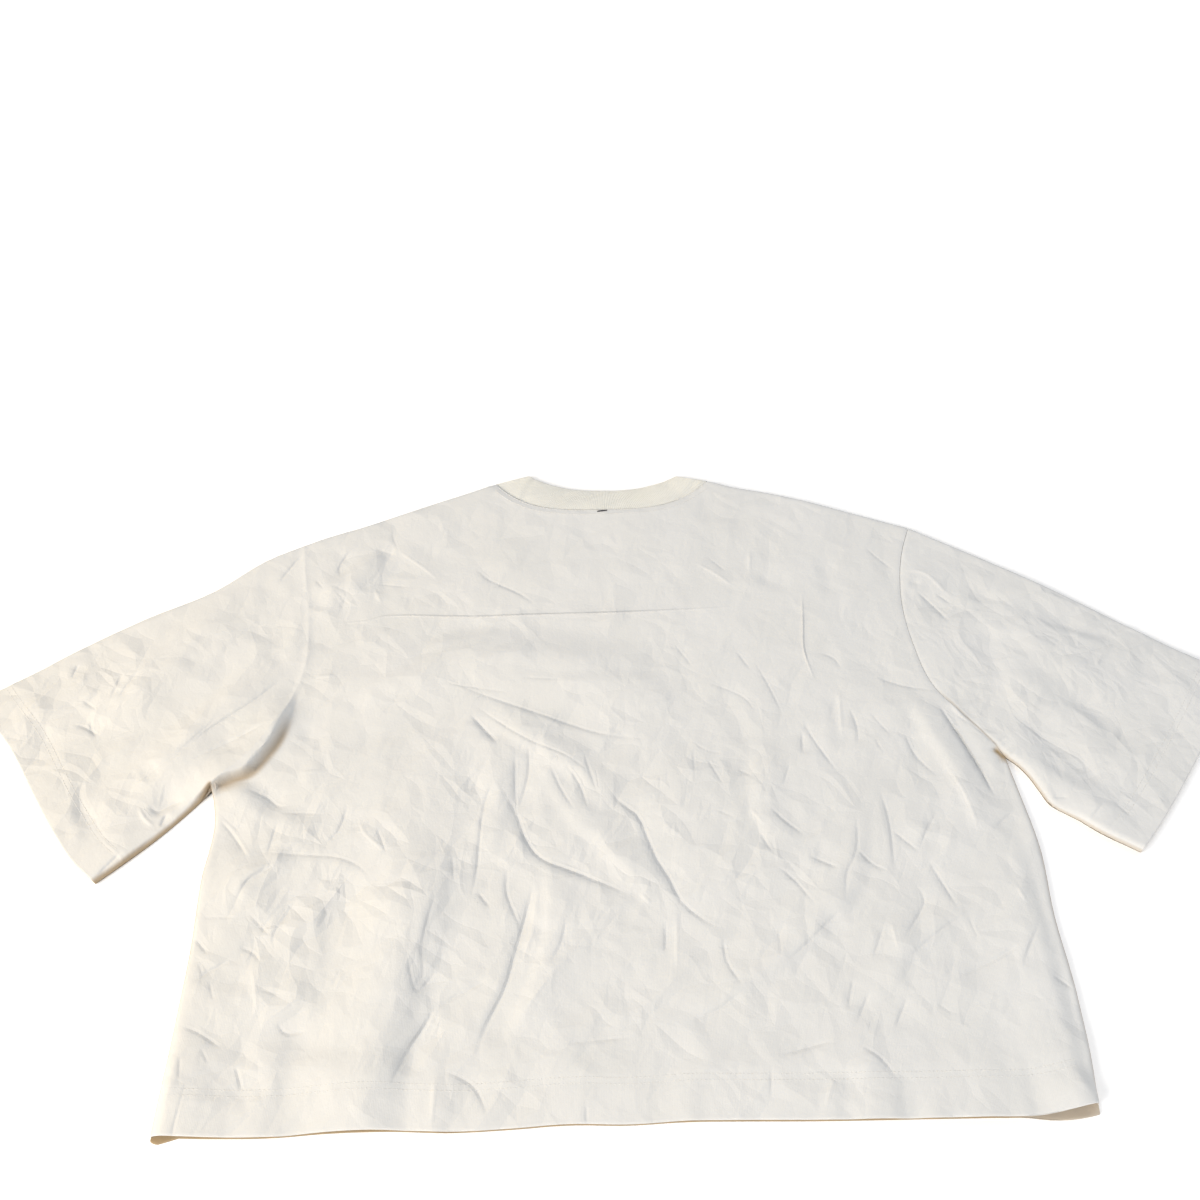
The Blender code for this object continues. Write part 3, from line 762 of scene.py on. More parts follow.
# %% [markdown]
# ## The height of the cloth
#
# One rule gives the height of the upper layer everywhere, so the back and the sleeves meet at
# their seams. It rests on the lower layer, steps up over turned hems and the collar, and rises
# with the folds and creases. Towards a closed edge it comes down like a quarter of an ellipse,
# to half its height, where the lower layer comes round from below.
#
# Where two layers lie close, only light that has passed through the cloth gets in, and the
# shade is brown rather than grey. A path tracer makes that too pale, so a second rule says how
# deep each spot lies in such a shade, and the material turns it brown.

# %% Upper surface
LEAST_RISE = 0.35  # of the upper layer over the lower one
LIP_ROLL = 0.75  # how much narrower the roll is where the left sleeve's lip reaches the underarm
LIP_REACH = 12.0  # distance from the underarm over which that fades
SEAM_NOTES = {
    # armhole: (rise at the seam, how far that reaches)
    "armhole_left": (0.45, 2.4),
    "armhole_right": (-0.5, 1.6),
}
STITCH_LINES = (4.0, 0.0)  # of a twin needle, back from the end of the turned cloth
STITCH_PULL = 0.22
STITCH_PULL_WIDTH = 1.5
NECK_BAND = 8.0  # width of the band below the collar, where the seam is held flat
NECK_BAND_RISE = 0.55
NECK_BAND_STEPS = (1.6, 1.8)  # widths over which it rises beside the collar and falls again
NECK_DITCH = (0.15, 1.3)  # depth and width of the line where the collar is sewn on


def bump_at(distance, width):
    """A bell: 1 at distance 0, fading over width."""
    return np.exp(-((distance / width) ** 2))


def resting_height(points, to_turned_end):
    """Top of the upper layer where nothing lifts it: two walls, a gap and what lies between."""
    band = 2 * TURN * (1 - smooth_step((to_turned_end - GAP) / BAND_FADE))
    middle = (np.array(CORNERS["neck_left"]) + np.array(CORNERS["neck_right"])) / 2
    from_neck = np.hypot(*np.moveaxis(points - middle, -1, 0))
    near, far = NECK_REACH
    collar = NECK_LIFT * (1 - smooth_step((from_neck - near) / (far - near)))
    return 2 * WALL + GAP + band + collar


def quarter_ellipse(distance, width):
    """0 at distance 0, rising steeply and then flat, to 1 at the width."""
    return np.sqrt(1 - (1 - np.clip(distance / width, 0.0, 1.0)) ** 2)


def seam_relief(points, to_turned_end, to_neck):
    """What sewing adds: the armhole seams, the stitch lines and the band below the collar."""
    relief = np.zeros(points.shape[:-1])
    for name, (rise, width) in SEAM_NOTES.items():
        relief += rise * bump_at(distance_to(points, name), width)
    for back in STITCH_LINES:
        relief -= STITCH_PULL * bump_at(to_turned_end + back, STITCH_PULL_WIDTH)
    up, down = NECK_BAND_STEPS
    band = smooth_step(to_neck / up) * (1 - smooth_step((to_neck - NECK_BAND) / down))
    ditch, width = NECK_DITCH
    return relief + NECK_BAND_RISE * band - ditch * bump_at(to_neck, width)


def upper_surface(points):
    """Height of the outer face of the upper layer, in mm, at plan points in mm."""
    to_turned_end = np.minimum(
        distance_to(points, "hem") - HEM_DEPTH,
        distance_to(points, "cuff_left", "cuff_right") - CUFF_DEPTH,
    )
    resting = resting_height(points, to_turned_end)
    rise = PUFF + fold_height(points)
    to_neck = np.abs(nearest(points, neckline("back_seam", EDGE_SHARES))[0])
    lifted = resting + quarter_ellipse(to_neck, NECK_ROLL) * rise
    creases = crease_height(seen_from_camera(points, lifted))
    rise = np.maximum(rise + creases + crumple_height(points), LEAST_RISE)
    relief = seam_relief(points, to_turned_end, to_neck)
    full = resting + quarter_ellipse(to_neck, NECK_ROLL) * rise + relief
    to_corner = np.hypot(*np.moveaxis(points - CORNERS["underarm_left"], -1, 0))
    width = ROLL_WIDTH * (1 - LIP_ROLL * bump_at(to_corner, LIP_REACH))
    closed = quarter_ellipse(distance_to(points, *CLOSED_EDGES), width)
    return resting / 2 + closed * (full - resting / 2)


SHADED = (
    # (path, how deep, reach to the left, reach to the right) of the shade on the outside
    # under the lip of the left sleeve
    (((-256, 34), (-261, 9), (-271, -10), (-281, -23), (-299, -31), (-322, -48)), 0.7, 5.5, 5.5),
    # the small gap at the right underarm, and the seam that runs up from it
    (((301, 2), (306, -4), (312, -10)), 1.0, 4, 4),
    (((312, -8), (296, 14), (279, 35), (262, 57)), 0.3, 1.8, 1.8),
)
SHADE_TAPER = 0.25  # share of such a path over which each end fades
UNDER_EDGES = (
    # (edge, how deep, reach) where the cloth goes round into the shade below it
    ("side_left", 0.5, 2.2),
    ("side_right", 0.6, 2.6),
    ("sleeve_low_left", 0.85, 3.6),
    ("sleeve_low_right", 0.5, 1.4),
)
HEM_SHADE = 0.9  # inside the open hem
HEM_SHADE_FADE = (8.0, 32.0)  # distances from the hem between which it fades


def shade_at(points):
    """How deep each spot of the outside lies in shade, from 0 to 1."""
    shade = np.zeros(points.shape[:-1])
    for path, deep, left, right in SHADED:
        add_ridge(shade, points, along_path(path), deep, left, right, 0.0, SHADE_TAPER)
    for name, deep, reach in UNDER_EDGES:
        shade = np.maximum(shade, deep * (1 - smooth_step(distance_to(points, name) / reach)))
    return np.clip(shade, 0.0, 1.0)


def hem_shade(to_hem):
    """Shade on the inside, which fades away from the open hem."""
    start, end = HEM_SHADE_FADE
    return HEM_SHADE * (1 - smooth_step((to_hem - start) / (end - start)))


middle_height = upper_surface(np.array([[[0.0, 0.0], [-150.0, -100.0]]]))
print("height at the middle and on the long fold:", np.round(middle_height, 1), "mm")

# %% [markdown]
# ## Materials
#
# Jersey is a fine knit: rows of stitches that stand up as lines a millimetre apart, with a
# soft uneven surface. At arm's length only a faint grain is left, with wrinkles between the
# larger facets and a sharp line along each crease. All of that is finer than the mesh, so it is
# a bump. It follows the piece's own UV map, which is laid in metres with V along the wales. The
# crease lines come from numbers that the mesh carries: a distance that passes through zero runs
# straight between two points of the mesh, so the line stays sharp however coarse the mesh is.

# %% Cloth and thread materials
GRAIN_MAP = "grain"
WALE_PITCH = 0.0011  # metres from one line of stitches to the next
WALE_RISE = 0.00002
WALE_SCALE = 0.05 / WALE_PITCH * 2 * np.pi  # the texture's waves are 2 pi / 20 long at scale 1
BROWN_SHADE = (0.38, 0.265, 0.13, 1.0)  # between two layers, where only light off the cloth comes
PATCHES = (14.0, 0.35, 0.65)  # scale of the two tones, and the noise values they run between
BEND = 0.02  # how far the borders of the small facets are bent, metres
BEND_SCALE = 22.0
SMALL_FACETS = (
    # (size in metres, how much longer than wide, turn in degrees, steepness)
    (0.034, 1.6, 58.0, 0.185),
    (0.020, 1.5, -35.0, 0.15),
    (0.010, 1.7, 62.0, 0.1),
)
KNIT_NOISE = (
    # (scale, detail, rise in metres)
    (120.0, 3.0, 0.0003),
    (420.0, 2.0, 0.00012),
)


def node(tree, kind, inputs=(), **settings):
    """A new node with its input sockets set or linked, and its settings."""
    made = tree.nodes.new(kind)
    for name, value in settings.items():
        setattr(made, name, value)
    for name, value in dict(inputs).items():
        if isinstance(value, bpy.types.NodeSocket):
            tree.links.new(value, made.inputs[name])
        else:
            made.inputs[name].default_value = value
    return made


def noise(tree, place, scale, detail):
    settings = {"Vector": place, "Scale": scale, "Detail": detail, "Roughness": 0.55}
    return node(tree, "ShaderNodeTexNoise", settings).outputs["Fac"]


def maths(tree, operation, first, second):
    """One step of arithmetic between two values, each a number or a socket."""
    made = node(tree, "ShaderNodeMath", {0: first, 1: second}, operation=operation)
    return made.outputs["Value"]


def vector_maths(tree, operation, *values, output="Vector"):
    """One step of arithmetic between vectors, each three numbers or a socket."""
    made = node(tree, "ShaderNodeVectorMath", dict(enumerate(values)), operation=operation)
    return made.outputs[output]


def mix_colours(tree, share, first, second):
    """The first colour where the share is 0, and the second where it is 1."""
    made = node(tree, "ShaderNodeMix", {0: share, 6: first, 7: second}, data_type="RGBA")
    return made.outputs[2]


def mark(tree, name, output="Fac"):
    """What the mesh carries at each of its points: a number, or three as a vector."""
    return node(tree, "ShaderNodeAttribute", attribute_name=name).outputs[output]


def small_facets(tree, place, size, longer, turn, steepness):
    """Height in metres of facets too small for the mesh: the distance to the border of a
    Voronoi cell, times a steepness of the cell's own, so each is a low roof or a hollow."""
    cell = (size * longer**0.5, size / longer**0.5, size)
    turned = {"Vector": place, "Rotation": (0.0, 0.0, np.radians(turn)), "Scale": cell}
    turned = node(tree, "ShaderNodeMapping", turned, vector_type="TEXTURE").outputs["Vector"]
    settings = {"Vector": turned, "Scale": 1.0, "Randomness": 1.0}
    flat = {"voronoi_dimensions": "2D"}
    border = node(tree, "ShaderNodeTexVoronoi", settings, feature="DISTANCE_TO_EDGE", **flat)
    colour = node(tree, "ShaderNodeTexVoronoi", settings, feature="F1", **flat).outputs["Color"]
    chance = node(tree, "ShaderNodeSeparateColor", {"Color": colour}).outputs["Red"]
    lean = maths(tree, "SUBTRACT", maths(tree, "MULTIPLY", chance, 2.0), 1.0)
    lean = maths(tree, "MULTIPLY", lean, steepness * size)
    return maths(tree, "MULTIPLY", border.outputs["Distance"], lean)


def crease_line(tree):
    """Height in metres of a sharp notch along each crease: its depth times 1 - |away| where
    that is positive, added up over the three layers, which are the three parts of a vector."""
    away = vector_maths(tree, "ABSOLUTE", mark(tree, "crease_away", "Vector"))
    share = vector_maths(tree, "SUBTRACT", (1.0,) * 3, away)
    share = vector_maths(tree, "MAXIMUM", share, (0.0,) * 3)
    depth = mark(tree, "crease_depth", "Vector")
    total = vector_maths(tree, "DOT_PRODUCT", share, depth, output="Value")
    return maths(tree, "MULTIPLY", total, MM)


def cloth_relief(tree, grain):
    """All the relief that is finer than the mesh, added up to one height in metres."""
    bend = node(tree, "ShaderNodeTexNoise", {"Vector": grain, "Scale": BEND_SCALE, "Detail": 1.0})
    bend = vector_maths(tree, "MULTIPLY", bend.outputs["Color"], (BEND,) * 3)
    bent = vector_maths(tree, "ADD", grain, bend)
    facets = [small_facets(tree, bent, *layer) for layer in SMALL_FACETS]
    facets = maths(tree, "ADD", facets[0], maths(tree, "ADD", facets[1], facets[2]))
    height = maths(tree, "MULTIPLY", facets, mark(tree, "crumpled"))
    height = maths(tree, "ADD", height, crease_line(tree))
    for scale, detail, rise in KNIT_NOISE:
        fuzz = maths(tree, "MULTIPLY", noise(tree, grain, scale, detail), rise)
        height = maths(tree, "ADD", height, fuzz)
    wave = {"Vector": grain, "Scale": WALE_SCALE, "Distortion": 0.6}
    lines = node(tree, "ShaderNodeTexWave", wave, bands_direction="X").outputs["Fac"]
    return maths(tree, "ADD", height, maths(tree, "MULTIPLY", lines, WALE_RISE))


def cloth_material(name, light, dark):
    """Knitted cloth: a colour that wanders between two close tones, turns brown in the shade
    between layers, and has the fine relief."""
    material = plain_material(name, light, 0.88)
    tree = material.node_tree
    shader = tree.nodes["Principled BSDF"]
    shader.inputs["Sheen Weight"].default_value = 0.12
    shader.inputs["Sheen Roughness"].default_value = 0.5
    shader.inputs["Specular IOR Level"].default_value = 0.25
    grain = node(tree, "ShaderNodeUVMap", uv_map=GRAIN_MAP).outputs["UV"]
    scale, low, high = PATCHES
    patches = {"Value": noise(tree, grain, scale, 2.0), "From Min": low, "From Max": high}
    tone = node(tree, "ShaderNodeMapRange", patches).outputs["Result"]
    colour = mix_colours(tree, tone, light, dark)
    colour = mix_colours(tree, mark(tree, "shade"), colour, BROWN_SHADE)
    tree.links.new(colour, shader.inputs["Base Color"])
    relief = {"Height": cloth_relief(tree, grain), "Strength": 1.0, "Distance": 1.0}
    tree.links.new(node(tree, "ShaderNodeBump", relief).outputs["Normal"], shader.inputs["Normal"])
    return material


CLOTHS = {
    # name: (light tone, dark tone)
    "jersey_knit": ((0.77, 0.772, 0.765, 1.0), (0.745, 0.747, 0.737, 1.0)),
    "rib_knit": ((0.80, 0.795, 0.752, 1.0), (0.775, 0.77, 0.722, 1.0)),
}
jersey, rib = (cloth_material(name, *tones) for name, tones in CLOTHS.items())
thread = plain_material("sewing_thread", (0.78, 0.775, 0.755, 1.0), 0.55)
dark_thread = plain_material("dark_thread", (0.035, 0.035, 0.05, 1.0), 0.6)
print("materials:", [m.name for m in (jersey, rib, thread, dark_thread)])

# %% [markdown]
# ## Sheets and tubes
#
# Every panel is a grid of plan points between four edges. Cloth has two faces, and the inner
# one is hardly ever seen, so a panel's lower face is a grid four times coarser, joined to the
# fine edge by a border of triangles. That keeps the triangles for the face that shows.

# %% Mesh helpers
COARSE = 4  # fine cells to one cell of the lower face
EDGE_SHADE = 0.45  # on the lower half of an edge


def add_marks(mesh, points, shade):
    """Gives each point of a mesh what the material reads: its crease line, how crumpled the
    cloth is there, and how deep it lies in the brown shade between two layers."""
    away, depth = crease_lines(seen_from_camera(points[:, :2], points[:, 2]))
    marks = (
        # (name, type, field of its data, values)
        ("crease_away", "FLOAT_VECTOR", "vector", away),
        ("crease_depth", "FLOAT_VECTOR", "vector", depth),
        ("crumpled", "FLOAT", "value", crumple_strength(points[:, :2])),
        ("shade", "FLOAT", "value", shade),
    )
    for name, kind, field, values in marks:
        mesh.attributes.new(name, kind, "POINT").data.foreach_set(field, values.ravel())


def add_mesh(name, points, faces, material, grain=None, shade=0.0):
    """A mesh object from points in mm and faces, smooth but for its sharp edges. On cloth,
    grain gives each point its place on the cloth, in metres, for the UV map, and shade is how
    much of the shade between two layers it has."""
    mesh = bpy.data.meshes.new(name)
    mesh.from_pydata((points * MM).tolist(), [], faces)
    if grain is not None:
        corners = np.empty(len(mesh.loops), np.int32)
        mesh.loops.foreach_get("vertex_index", corners)
        layer = mesh.uv_layers.new(name=GRAIN_MAP)
        layer.data.foreach_set("uv", grain[corners].ravel())
        add_marks(mesh, points, shade * np.ones(len(points)))
    mesh.shade_smooth()
    mesh.set_sharp_from_angle(angle=np.radians(60))
    mesh.materials.append(material)
    thing = bpy.data.objects.new(name, mesh)
    bpy.context.scene.collection.objects.link(thing)
    low, high = points.min(0), points.max(0)
    print(f"{name}: {len(faces)} faces, {np.round(high - low, 1)} mm")
    return thing


def grid_faces(numbers):
    """Quads of a grid of vertex numbers, counter-clockwise seen from above when its columns
    run along +X and its rows along +Y."""
    a, b, c, d = numbers[:-1, :-1], numbers[:-1, 1:], numbers[1:, 1:], numbers[1:, :-1]
    return np.stack([a, b, c, d], -1).reshape(-1, 4)


def around(grid):
    """The border of a grid, once round, counter-clockwise."""
    return np.concatenate([grid[0, :-1], grid[:-1, -1], grid[-1, :0:-1], grid[:0:-1, 0]])


def lowest_near(height, reach):
    """The least of a grid's values within reach cells of each."""
    for axis in (0, 1):
        padded = np.pad(height, [(reach, reach) if i == axis else (0, 0) for i in (0, 1)], "edge")
        length = height.shape[axis]
        runs = [np.take(padded, range(i, i + length), axis) for i in range(2 * reach + 1)]
        height = np.min(runs, axis=0)
    return height


def coarse_rows(count):
    """Rows that the coarse grid keeps, away from the border."""
    return np.unique(np.append(np.arange(COARSE, count - COARSE, COARSE), count - 1 - COARSE))


def add_sheet(name, plan, top, under, rim, material, grain, top_shade, under_shade):
    """One layer of cloth: its fine upper face at top, its coarse lower face at under, and a
    rim of height rim all round."""
    rows, columns = top.shape
    upper = np.dstack([plan, top]).reshape(-1, 3)
    numbers = np.arange(rows * columns).reshape(rows, columns)
    border = around(numbers)
    low_border = upper[border] - np.column_stack([np.zeros((len(border), 2)), around(rim)])
    kept_rows, kept_columns = coarse_rows(rows), coarse_rows(columns)
    cells = np.ix_(kept_rows, kept_columns)
    lower = np.dstack([plan[cells], under[cells]]).reshape(-1, 3)
    first_low = rows * columns
    first_coarse = first_low + len(border)
    coarse = first_coarse + np.arange(len(lower)).reshape(len(kept_rows), len(kept_columns))
    row_of, column_of = np.divmod(border, columns)
    partner = coarse[
        np.abs(row_of[:, None] - kept_rows).argmin(1),
        np.abs(column_of[:, None] - kept_columns).argmin(1),
    ]
    a = first_low + np.arange(len(border))
    b, partner_b = np.roll(a, -1), np.roll(partner, -1)
    steps = partner != partner_b
    faces = [*grid_faces(numbers).tolist(), *grid_faces(coarse)[:, ::-1].tolist()]
    faces += np.stack([np.roll(border, -1), border, a, b], -1).tolist()
    faces += np.stack([b, a, partner_b], -1).tolist()
    faces += np.stack([a, partner, partner_b], -1)[steps].tolist()
    points = np.concatenate([upper, low_border, lower])
    flat = grain.reshape(-1, 2)
    coordinates = np.concatenate([flat, flat[border], grain[cells].reshape(-1, 2)])
    shades = [top_shade.ravel(), np.full(len(border), EDGE_SHADE), under_shade[cells].ravel()]
    return add_mesh(name, points, faces, material, coordinates, np.concatenate(shades))


def spaced(length, pitch, *finer):
    """Shares of a length in even steps of about pitch, with closer ones where an edge turns:
    finer are distances from each end, in mm."""
    ends = np.array(finer) / length
    inside = 1 - 2 * ends[-1]
    count = max(1, round(inside * length / pitch))
    middle = ends[-1] + inside * np.linspace(0.0, 1.0, count + 1)[1:-1]
    return np.concatenate([[0.0], ends, middle, 1 - ends[::-1], [1.0]])


def moved(run, amount):
    """A run of seam points moved sideways, to the right of it, by amount."""
    along = np.gradient(run, axis=0)
    along /= np.hypot(*along.T)[:, None]
    return run + amount * np.column_stack([along[:, 1], -along[:, 0]])


def patch(bottom, top, left, right):
    """Grid of plan points between four edges: straight lines from left to right, moved by how
    the bottom and top edges leave their own straight lines."""
    u = (bottom[:, 0] - bottom[0, 0]) / (bottom[-1, 0] - bottom[0, 0])
    v = (left[:, 1] - left[0, 1]) / (left[-1, 1] - left[0, 1])
    v = v + (right[:, 1] - right[0, 1]) / (right[-1, 1] - right[0, 1])
    u, v = u[None, :, None], v[:, None, None] / 2
    flat = (1 - u) * left[:, None] + u * right[:, None]
    low = bottom[None] - (1 - u) * bottom[0] - u * bottom[-1]
    high = top[None] - (1 - u) * top[0] - u * top[-1]
    return flat + (1 - v) * low + v * high


def rounding(distance, radius):
    """How far a face has come down at a distance from its edge, where it turns in a quarter
    of a circle."""
    return radius - np.sqrt(radius**2 - (radius - np.clip(distance, 0.0, radius)) ** 2)


print("lower faces are", COARSE, "times coarser")

# %% [markdown]
# ## The two body panels
#
# The front panel lies flat on the floor and shows only as a thin second edge along the hem, so
# it needs few cells. The back panel is the main thing that is seen, and gets a cell about
# every two millimetres, with closer ones where its edges turn.

# %% Front and back
EDGE_CELLS = (0.35, 0.9, 1.8, 3.2, 5.0)  # distances from an edge to the close cells' borders
BACK_PITCH = 2.12
FRONT_PITCH = 6.0
ARMHOLE_RUN, SHOULDER_RUN, NECK_RUN = 250.0, 180.0, 205.0  # rough lengths, to count the cells
HEM_RADIUS = 1.0
LEAST_GAP = 0.05  # between the two layers
PEEP_FADE = 12.0  # distance from the hem over which a peep fades
HEM_PEEPS = (
    # (middle, half width, drop, fullness, deepest shade), mm along x: where the front shows
    (-299.5, 7.0, 4.0, 0.5, 0.95),
    (318.0, 46.0, 6.4, 1.6, 0.62),
)


def even_shares(curve, name, wanted):
    """Shares of a curve's straight line at which its own length reaches the wanted shares."""
    fine = np.linspace(0.0, 1.0, 400)
    reached = walk_along(curve(name, fine))
    return np.interp(np.array(wanted) * reached[-1], reached, fine)


def evenly(curve, name, shares):
    """Points of an edge or a neckline at shares of its own length."""
    return curve(name, even_shares(curve, name, shares))


def body_side(side, seam, pitch):
    """Points up one side of a panel, from hem to underarm to shoulder."""
    shares = spaced(ARMHOLE_RUN, pitch, *EDGE_CELLS)
    band = EDGE_CELLS[-1] / ARMHOLE_RUN
    low = edge(f"side_{side}", shares[: np.searchsorted(shares, 1 - band)])
    high = np.concatenate([[0.0], shares[np.searchsorted(shares, band) :]])
    return np.concatenate([low, moved(evenly(edge, f"armhole_{side}", high), seam)])


def panel_plan(seam_name, pitch):
    """Plan grid of the front or back panel."""
    shares = spaced(SHOULDER_RUN, pitch, *EDGE_CELLS)
    band = EDGE_CELLS[-1] / SHOULDER_RUN
    shoulder = np.concatenate([shares[: np.searchsorted(shares, 1 - band)], [1.0]])
    left = edge("shoulder_left", shoulder)
    right = edge("shoulder_right", shoulder)[::-1]
    neck_shares = np.linspace(0.0, 1.0, round(NECK_RUN / pitch) + 1)
    neck = moved(evenly(neckline, seam_name, neck_shares), SEAM_GAP / 2)
    top = np.concatenate([left[:-1], neck, right[1:]])
    left_side = body_side("left", GAP / 2, pitch)
    right_side = body_side("right", -GAP / 2, pitch)
    top[0], top[-1] = left_side[-1], right_side[-1]
    bottom = edge("hem", (top[:, 0] - top[0, 0]) / (top[-1, 0] - top[0, 0]))
    return patch(bottom, top, left_side, right_side)


def turned_thickness(to_end, depth):
    """One layer of cloth, thicker where it is turned in by depth at its end."""
    return WALL + TURN * (to_end < depth)


def make_front():
    plan = panel_plan("front_seam", FRONT_PITCH)
    to_hem = distance_to(plan, "hem")
    inside = hem_shade(to_hem)
    for middle, half, drop, fullness, deepest in HEM_PEEPS:
        across = np.clip(1 - ((plan[..., 0] - middle) / half) ** 2, 0.0, 1.0)
        plan[..., 1] -= drop * across**fullness * (1 - smooth_step(to_hem / PEEP_FADE))
        inside = np.where(across > 0, np.minimum(inside, deepest), inside)
    thick = turned_thickness(to_hem, HEM_DEPTH)
    round_off = rounding(to_hem, HEM_RADIUS)
    top, rim = thick - round_off, thick - 2 * round_off
    under = np.zeros_like(top)
    return add_sheet("front_cloth", plan, top, under, rim, jersey, plan * MM, inside, under)


def make_back():
    plan = panel_plan("back_seam", BACK_PITCH)
    to_hem = distance_to(plan, "hem")
    round_off = rounding(to_hem, HEM_RADIUS)
    full = upper_surface(plan)
    thick = turned_thickness(to_hem, HEM_DEPTH)
    lower_layer = thick + LEAST_GAP
    under = np.maximum(lowest_near(full, COARSE) - thick, lower_layer)
    top = full - round_off
    rim = np.maximum(np.minimum(thick - 2 * round_off, top - lower_layer), LEAST_GAP)
    shades = shade_at(plan), hem_shade(to_hem)
    return add_sheet("back_cloth", plan, top, under, rim, jersey, plan * MM, *shades)


front = make_front()
back = make_back()

# %% [markdown]
# ## The sleeves
#
# A sleeve is one piece of cloth sewn into a tube along its lower edge, pressed flat. Its upper
# half follows the same height rule as the back. Its lower half lies on the floor and comes
# round the two folds in a quarter of a circle. Both halves are one grid that closes on itself,
# and a second, smaller one inside it is the inner face. The UV map is the sleeve opened flat
# about its upper fold, so the knit runs on round it without a stretch.

# %% Sleeves
SLEEVE_PITCH = 2.1
SLEEVE_LOWER_CELLS = 22
FOLD_SHARE = 0.008  # of a sleeve's width, in which the lower half comes round the fold
FOLD_TURNS = np.radians([30.0, 60.0])  # how far round it has come at the cells between
CUFF_RADIUS = 1.0
SLEEVE_SEAMS = {"left": 0.4, "right": GAP / 2}  # how far a sleeve is moved at its armhole
ROLLED_SHADE = 0.65  # on the lower part of a tube's edges
ROLLED_HEIGHTS = (0.4, 1.6, 3.4)  # where that is full, and between which two it fades
OUTSIDE_FROM = 1.0  # height above which a tube's outside has the shade of the upper layer
INNER_SHADE = 0.5  # inside a tube


def sleeve_plan(side, shares, across):
    """Plan grid of half a sleeve: rows from armhole to cuff, columns from the lower edge to
    the top edge."""
    across = even_shares(edge, f"armhole_{side}", across)
    armhole = moved(edge(f"armhole_{side}", across), SLEEVE_SEAMS[side])
    low, top = edge(f"sleeve_low_{side}", shares), edge(f"sleeve_top_{side}", shares)
    low[0], top[0] = armhole[0], armhole[-1]
    return patch(low, top, armhole, edge(f"cuff_{side}", across)).transpose(1, 0, 2)


def row_walk(plan):
    """Distance walked along each row, from its first point."""
    steps = np.hypot(*np.moveaxis(np.diff(plan, axis=1), -1, 0))
    return np.concatenate([np.zeros((len(plan), 1)), np.cumsum(steps, 1)], 1)


def inwards(plan, across, wall):
    """Points of the inner face: moved away from both folds, by a wall at the fold itself."""
    chord = plan[:, -1:] - plan[:, :1]
    chord = chord / np.linalg.norm(chord, axis=-1, keepdims=True)
    shift = wall * (np.exp(-across / wall) - np.exp(-(across[:, -1:] - across) / wall))
    return plan + shift[..., None] * chord


def add_tube(name, outer, inner, material, grain):
    """A wall between two rings of points, for each row; both ends are closed by a rim."""
    rows, columns = outer.shape[:2]
    numbers = np.arange(rows * columns).reshape(rows, columns)
    ring = np.concatenate([numbers, numbers[:, :1]], axis=1)
    quads = grid_faces(ring)
    first, last = ring[0], ring[-1]
    count = rows * columns
    rims = [
        np.stack([first[1:], first[:-1], first[:-1] + count, first[1:] + count], -1),
        np.stack([last[:-1], last[1:], last[1:] + count, last[:-1] + count], -1),
    ]
    faces = np.concatenate([quads, quads[:, ::-1] + count, *rims])
    points = np.concatenate([outer.reshape(-1, 3), inner.reshape(-1, 3)])
    corners = points[faces]
    volume = np.einsum("ij,ij->", corners[:, 0], np.cross(corners[:, 1], corners[:, 2]))
    volume += np.einsum("ij,ij->", corners[:, 0], np.cross(corners[:, 2], corners[:, 3]))
    if volume < 0:
        faces = faces[:, ::-1]
    coordinates = np.concatenate([grain.reshape(-1, 2)] * 2)
    height = outer[..., 2].ravel()
    full, start, end = ROLLED_HEIGHTS
    fade = 1 - smooth_step((height - start) / (end - start))
    rolled = ROLLED_SHADE * smooth_step(height / full) * fade
    shade = np.maximum(rolled, shade_at(outer[..., :2]).ravel() * (height > OUTSIDE_FROM))
    shade = np.concatenate([shade, np.full(count, INNER_SHADE)])
    return add_mesh(name, points, faces.tolist(), material, coordinates, shade)


def half_tube(plan, height, inner_height, wall):
    """The outer and inner points of one half, and the distance walked across it."""
    across = row_walk(plan)
    outer = np.dstack([plan, height])
    inner = np.dstack([inwards(plan, across, wall), inner_height])
    return outer, inner, across


def cuff_shape(side, plan):
    """How thick the cloth is and how far its face is rounded off, both near the cuff."""
    to_cuff = distance_to(plan, f"cuff_{side}")
    return turned_thickness(to_cuff, CUFF_DEPTH), rounding(to_cuff, CUFF_RADIUS)


def upper_half(side, shares, across):
    """The half that shows: its outer and inner points, and its height before the cuff's edge
    is rounded off."""
    plan = sleeve_plan(side, shares, across)
    thick, round_off = cuff_shape(side, plan)
    full = upper_surface(plan)
    inner = np.maximum(full - thick, thick + 2 * LEAST_GAP) + round_off
    outer, inner, _ = half_tube(plan, full - round_off, inner, WALL)
    return outer, inner, full


def lower_half(side, shares, fold_heights):
    """The half on the floor. Beside each of the two folds it comes down from the height of the
    upper half there; fold_heights has that for both, row by row."""
    near_fold = np.concatenate([FOLD_SHARE * (1 - np.cos(FOLD_TURNS)), [FOLD_SHARE]])
    middle = np.linspace(FOLD_SHARE, 1 - FOLD_SHARE, SLEEVE_LOWER_CELLS + 1)[1:-1]
    across = np.concatenate([near_fold, middle, 1 - near_fold[::-1]])
    falls = np.concatenate([1 - np.sin(FOLD_TURNS), [0.0]])
    falls = np.concatenate([falls, np.zeros(len(middle)), falls[::-1]])
    plan = sleeve_plan(side, shares, across)
    thick, round_off = cuff_shape(side, plan)
    low, top = fold_heights[:, :1], fold_heights[:, 1:]
    height = falls * np.where(np.arange(len(across)) < len(across) / 2, low, top)
    inner = np.maximum(height, thick) - round_off
    return half_tube(plan, height + round_off, inner, WALL)[:2]


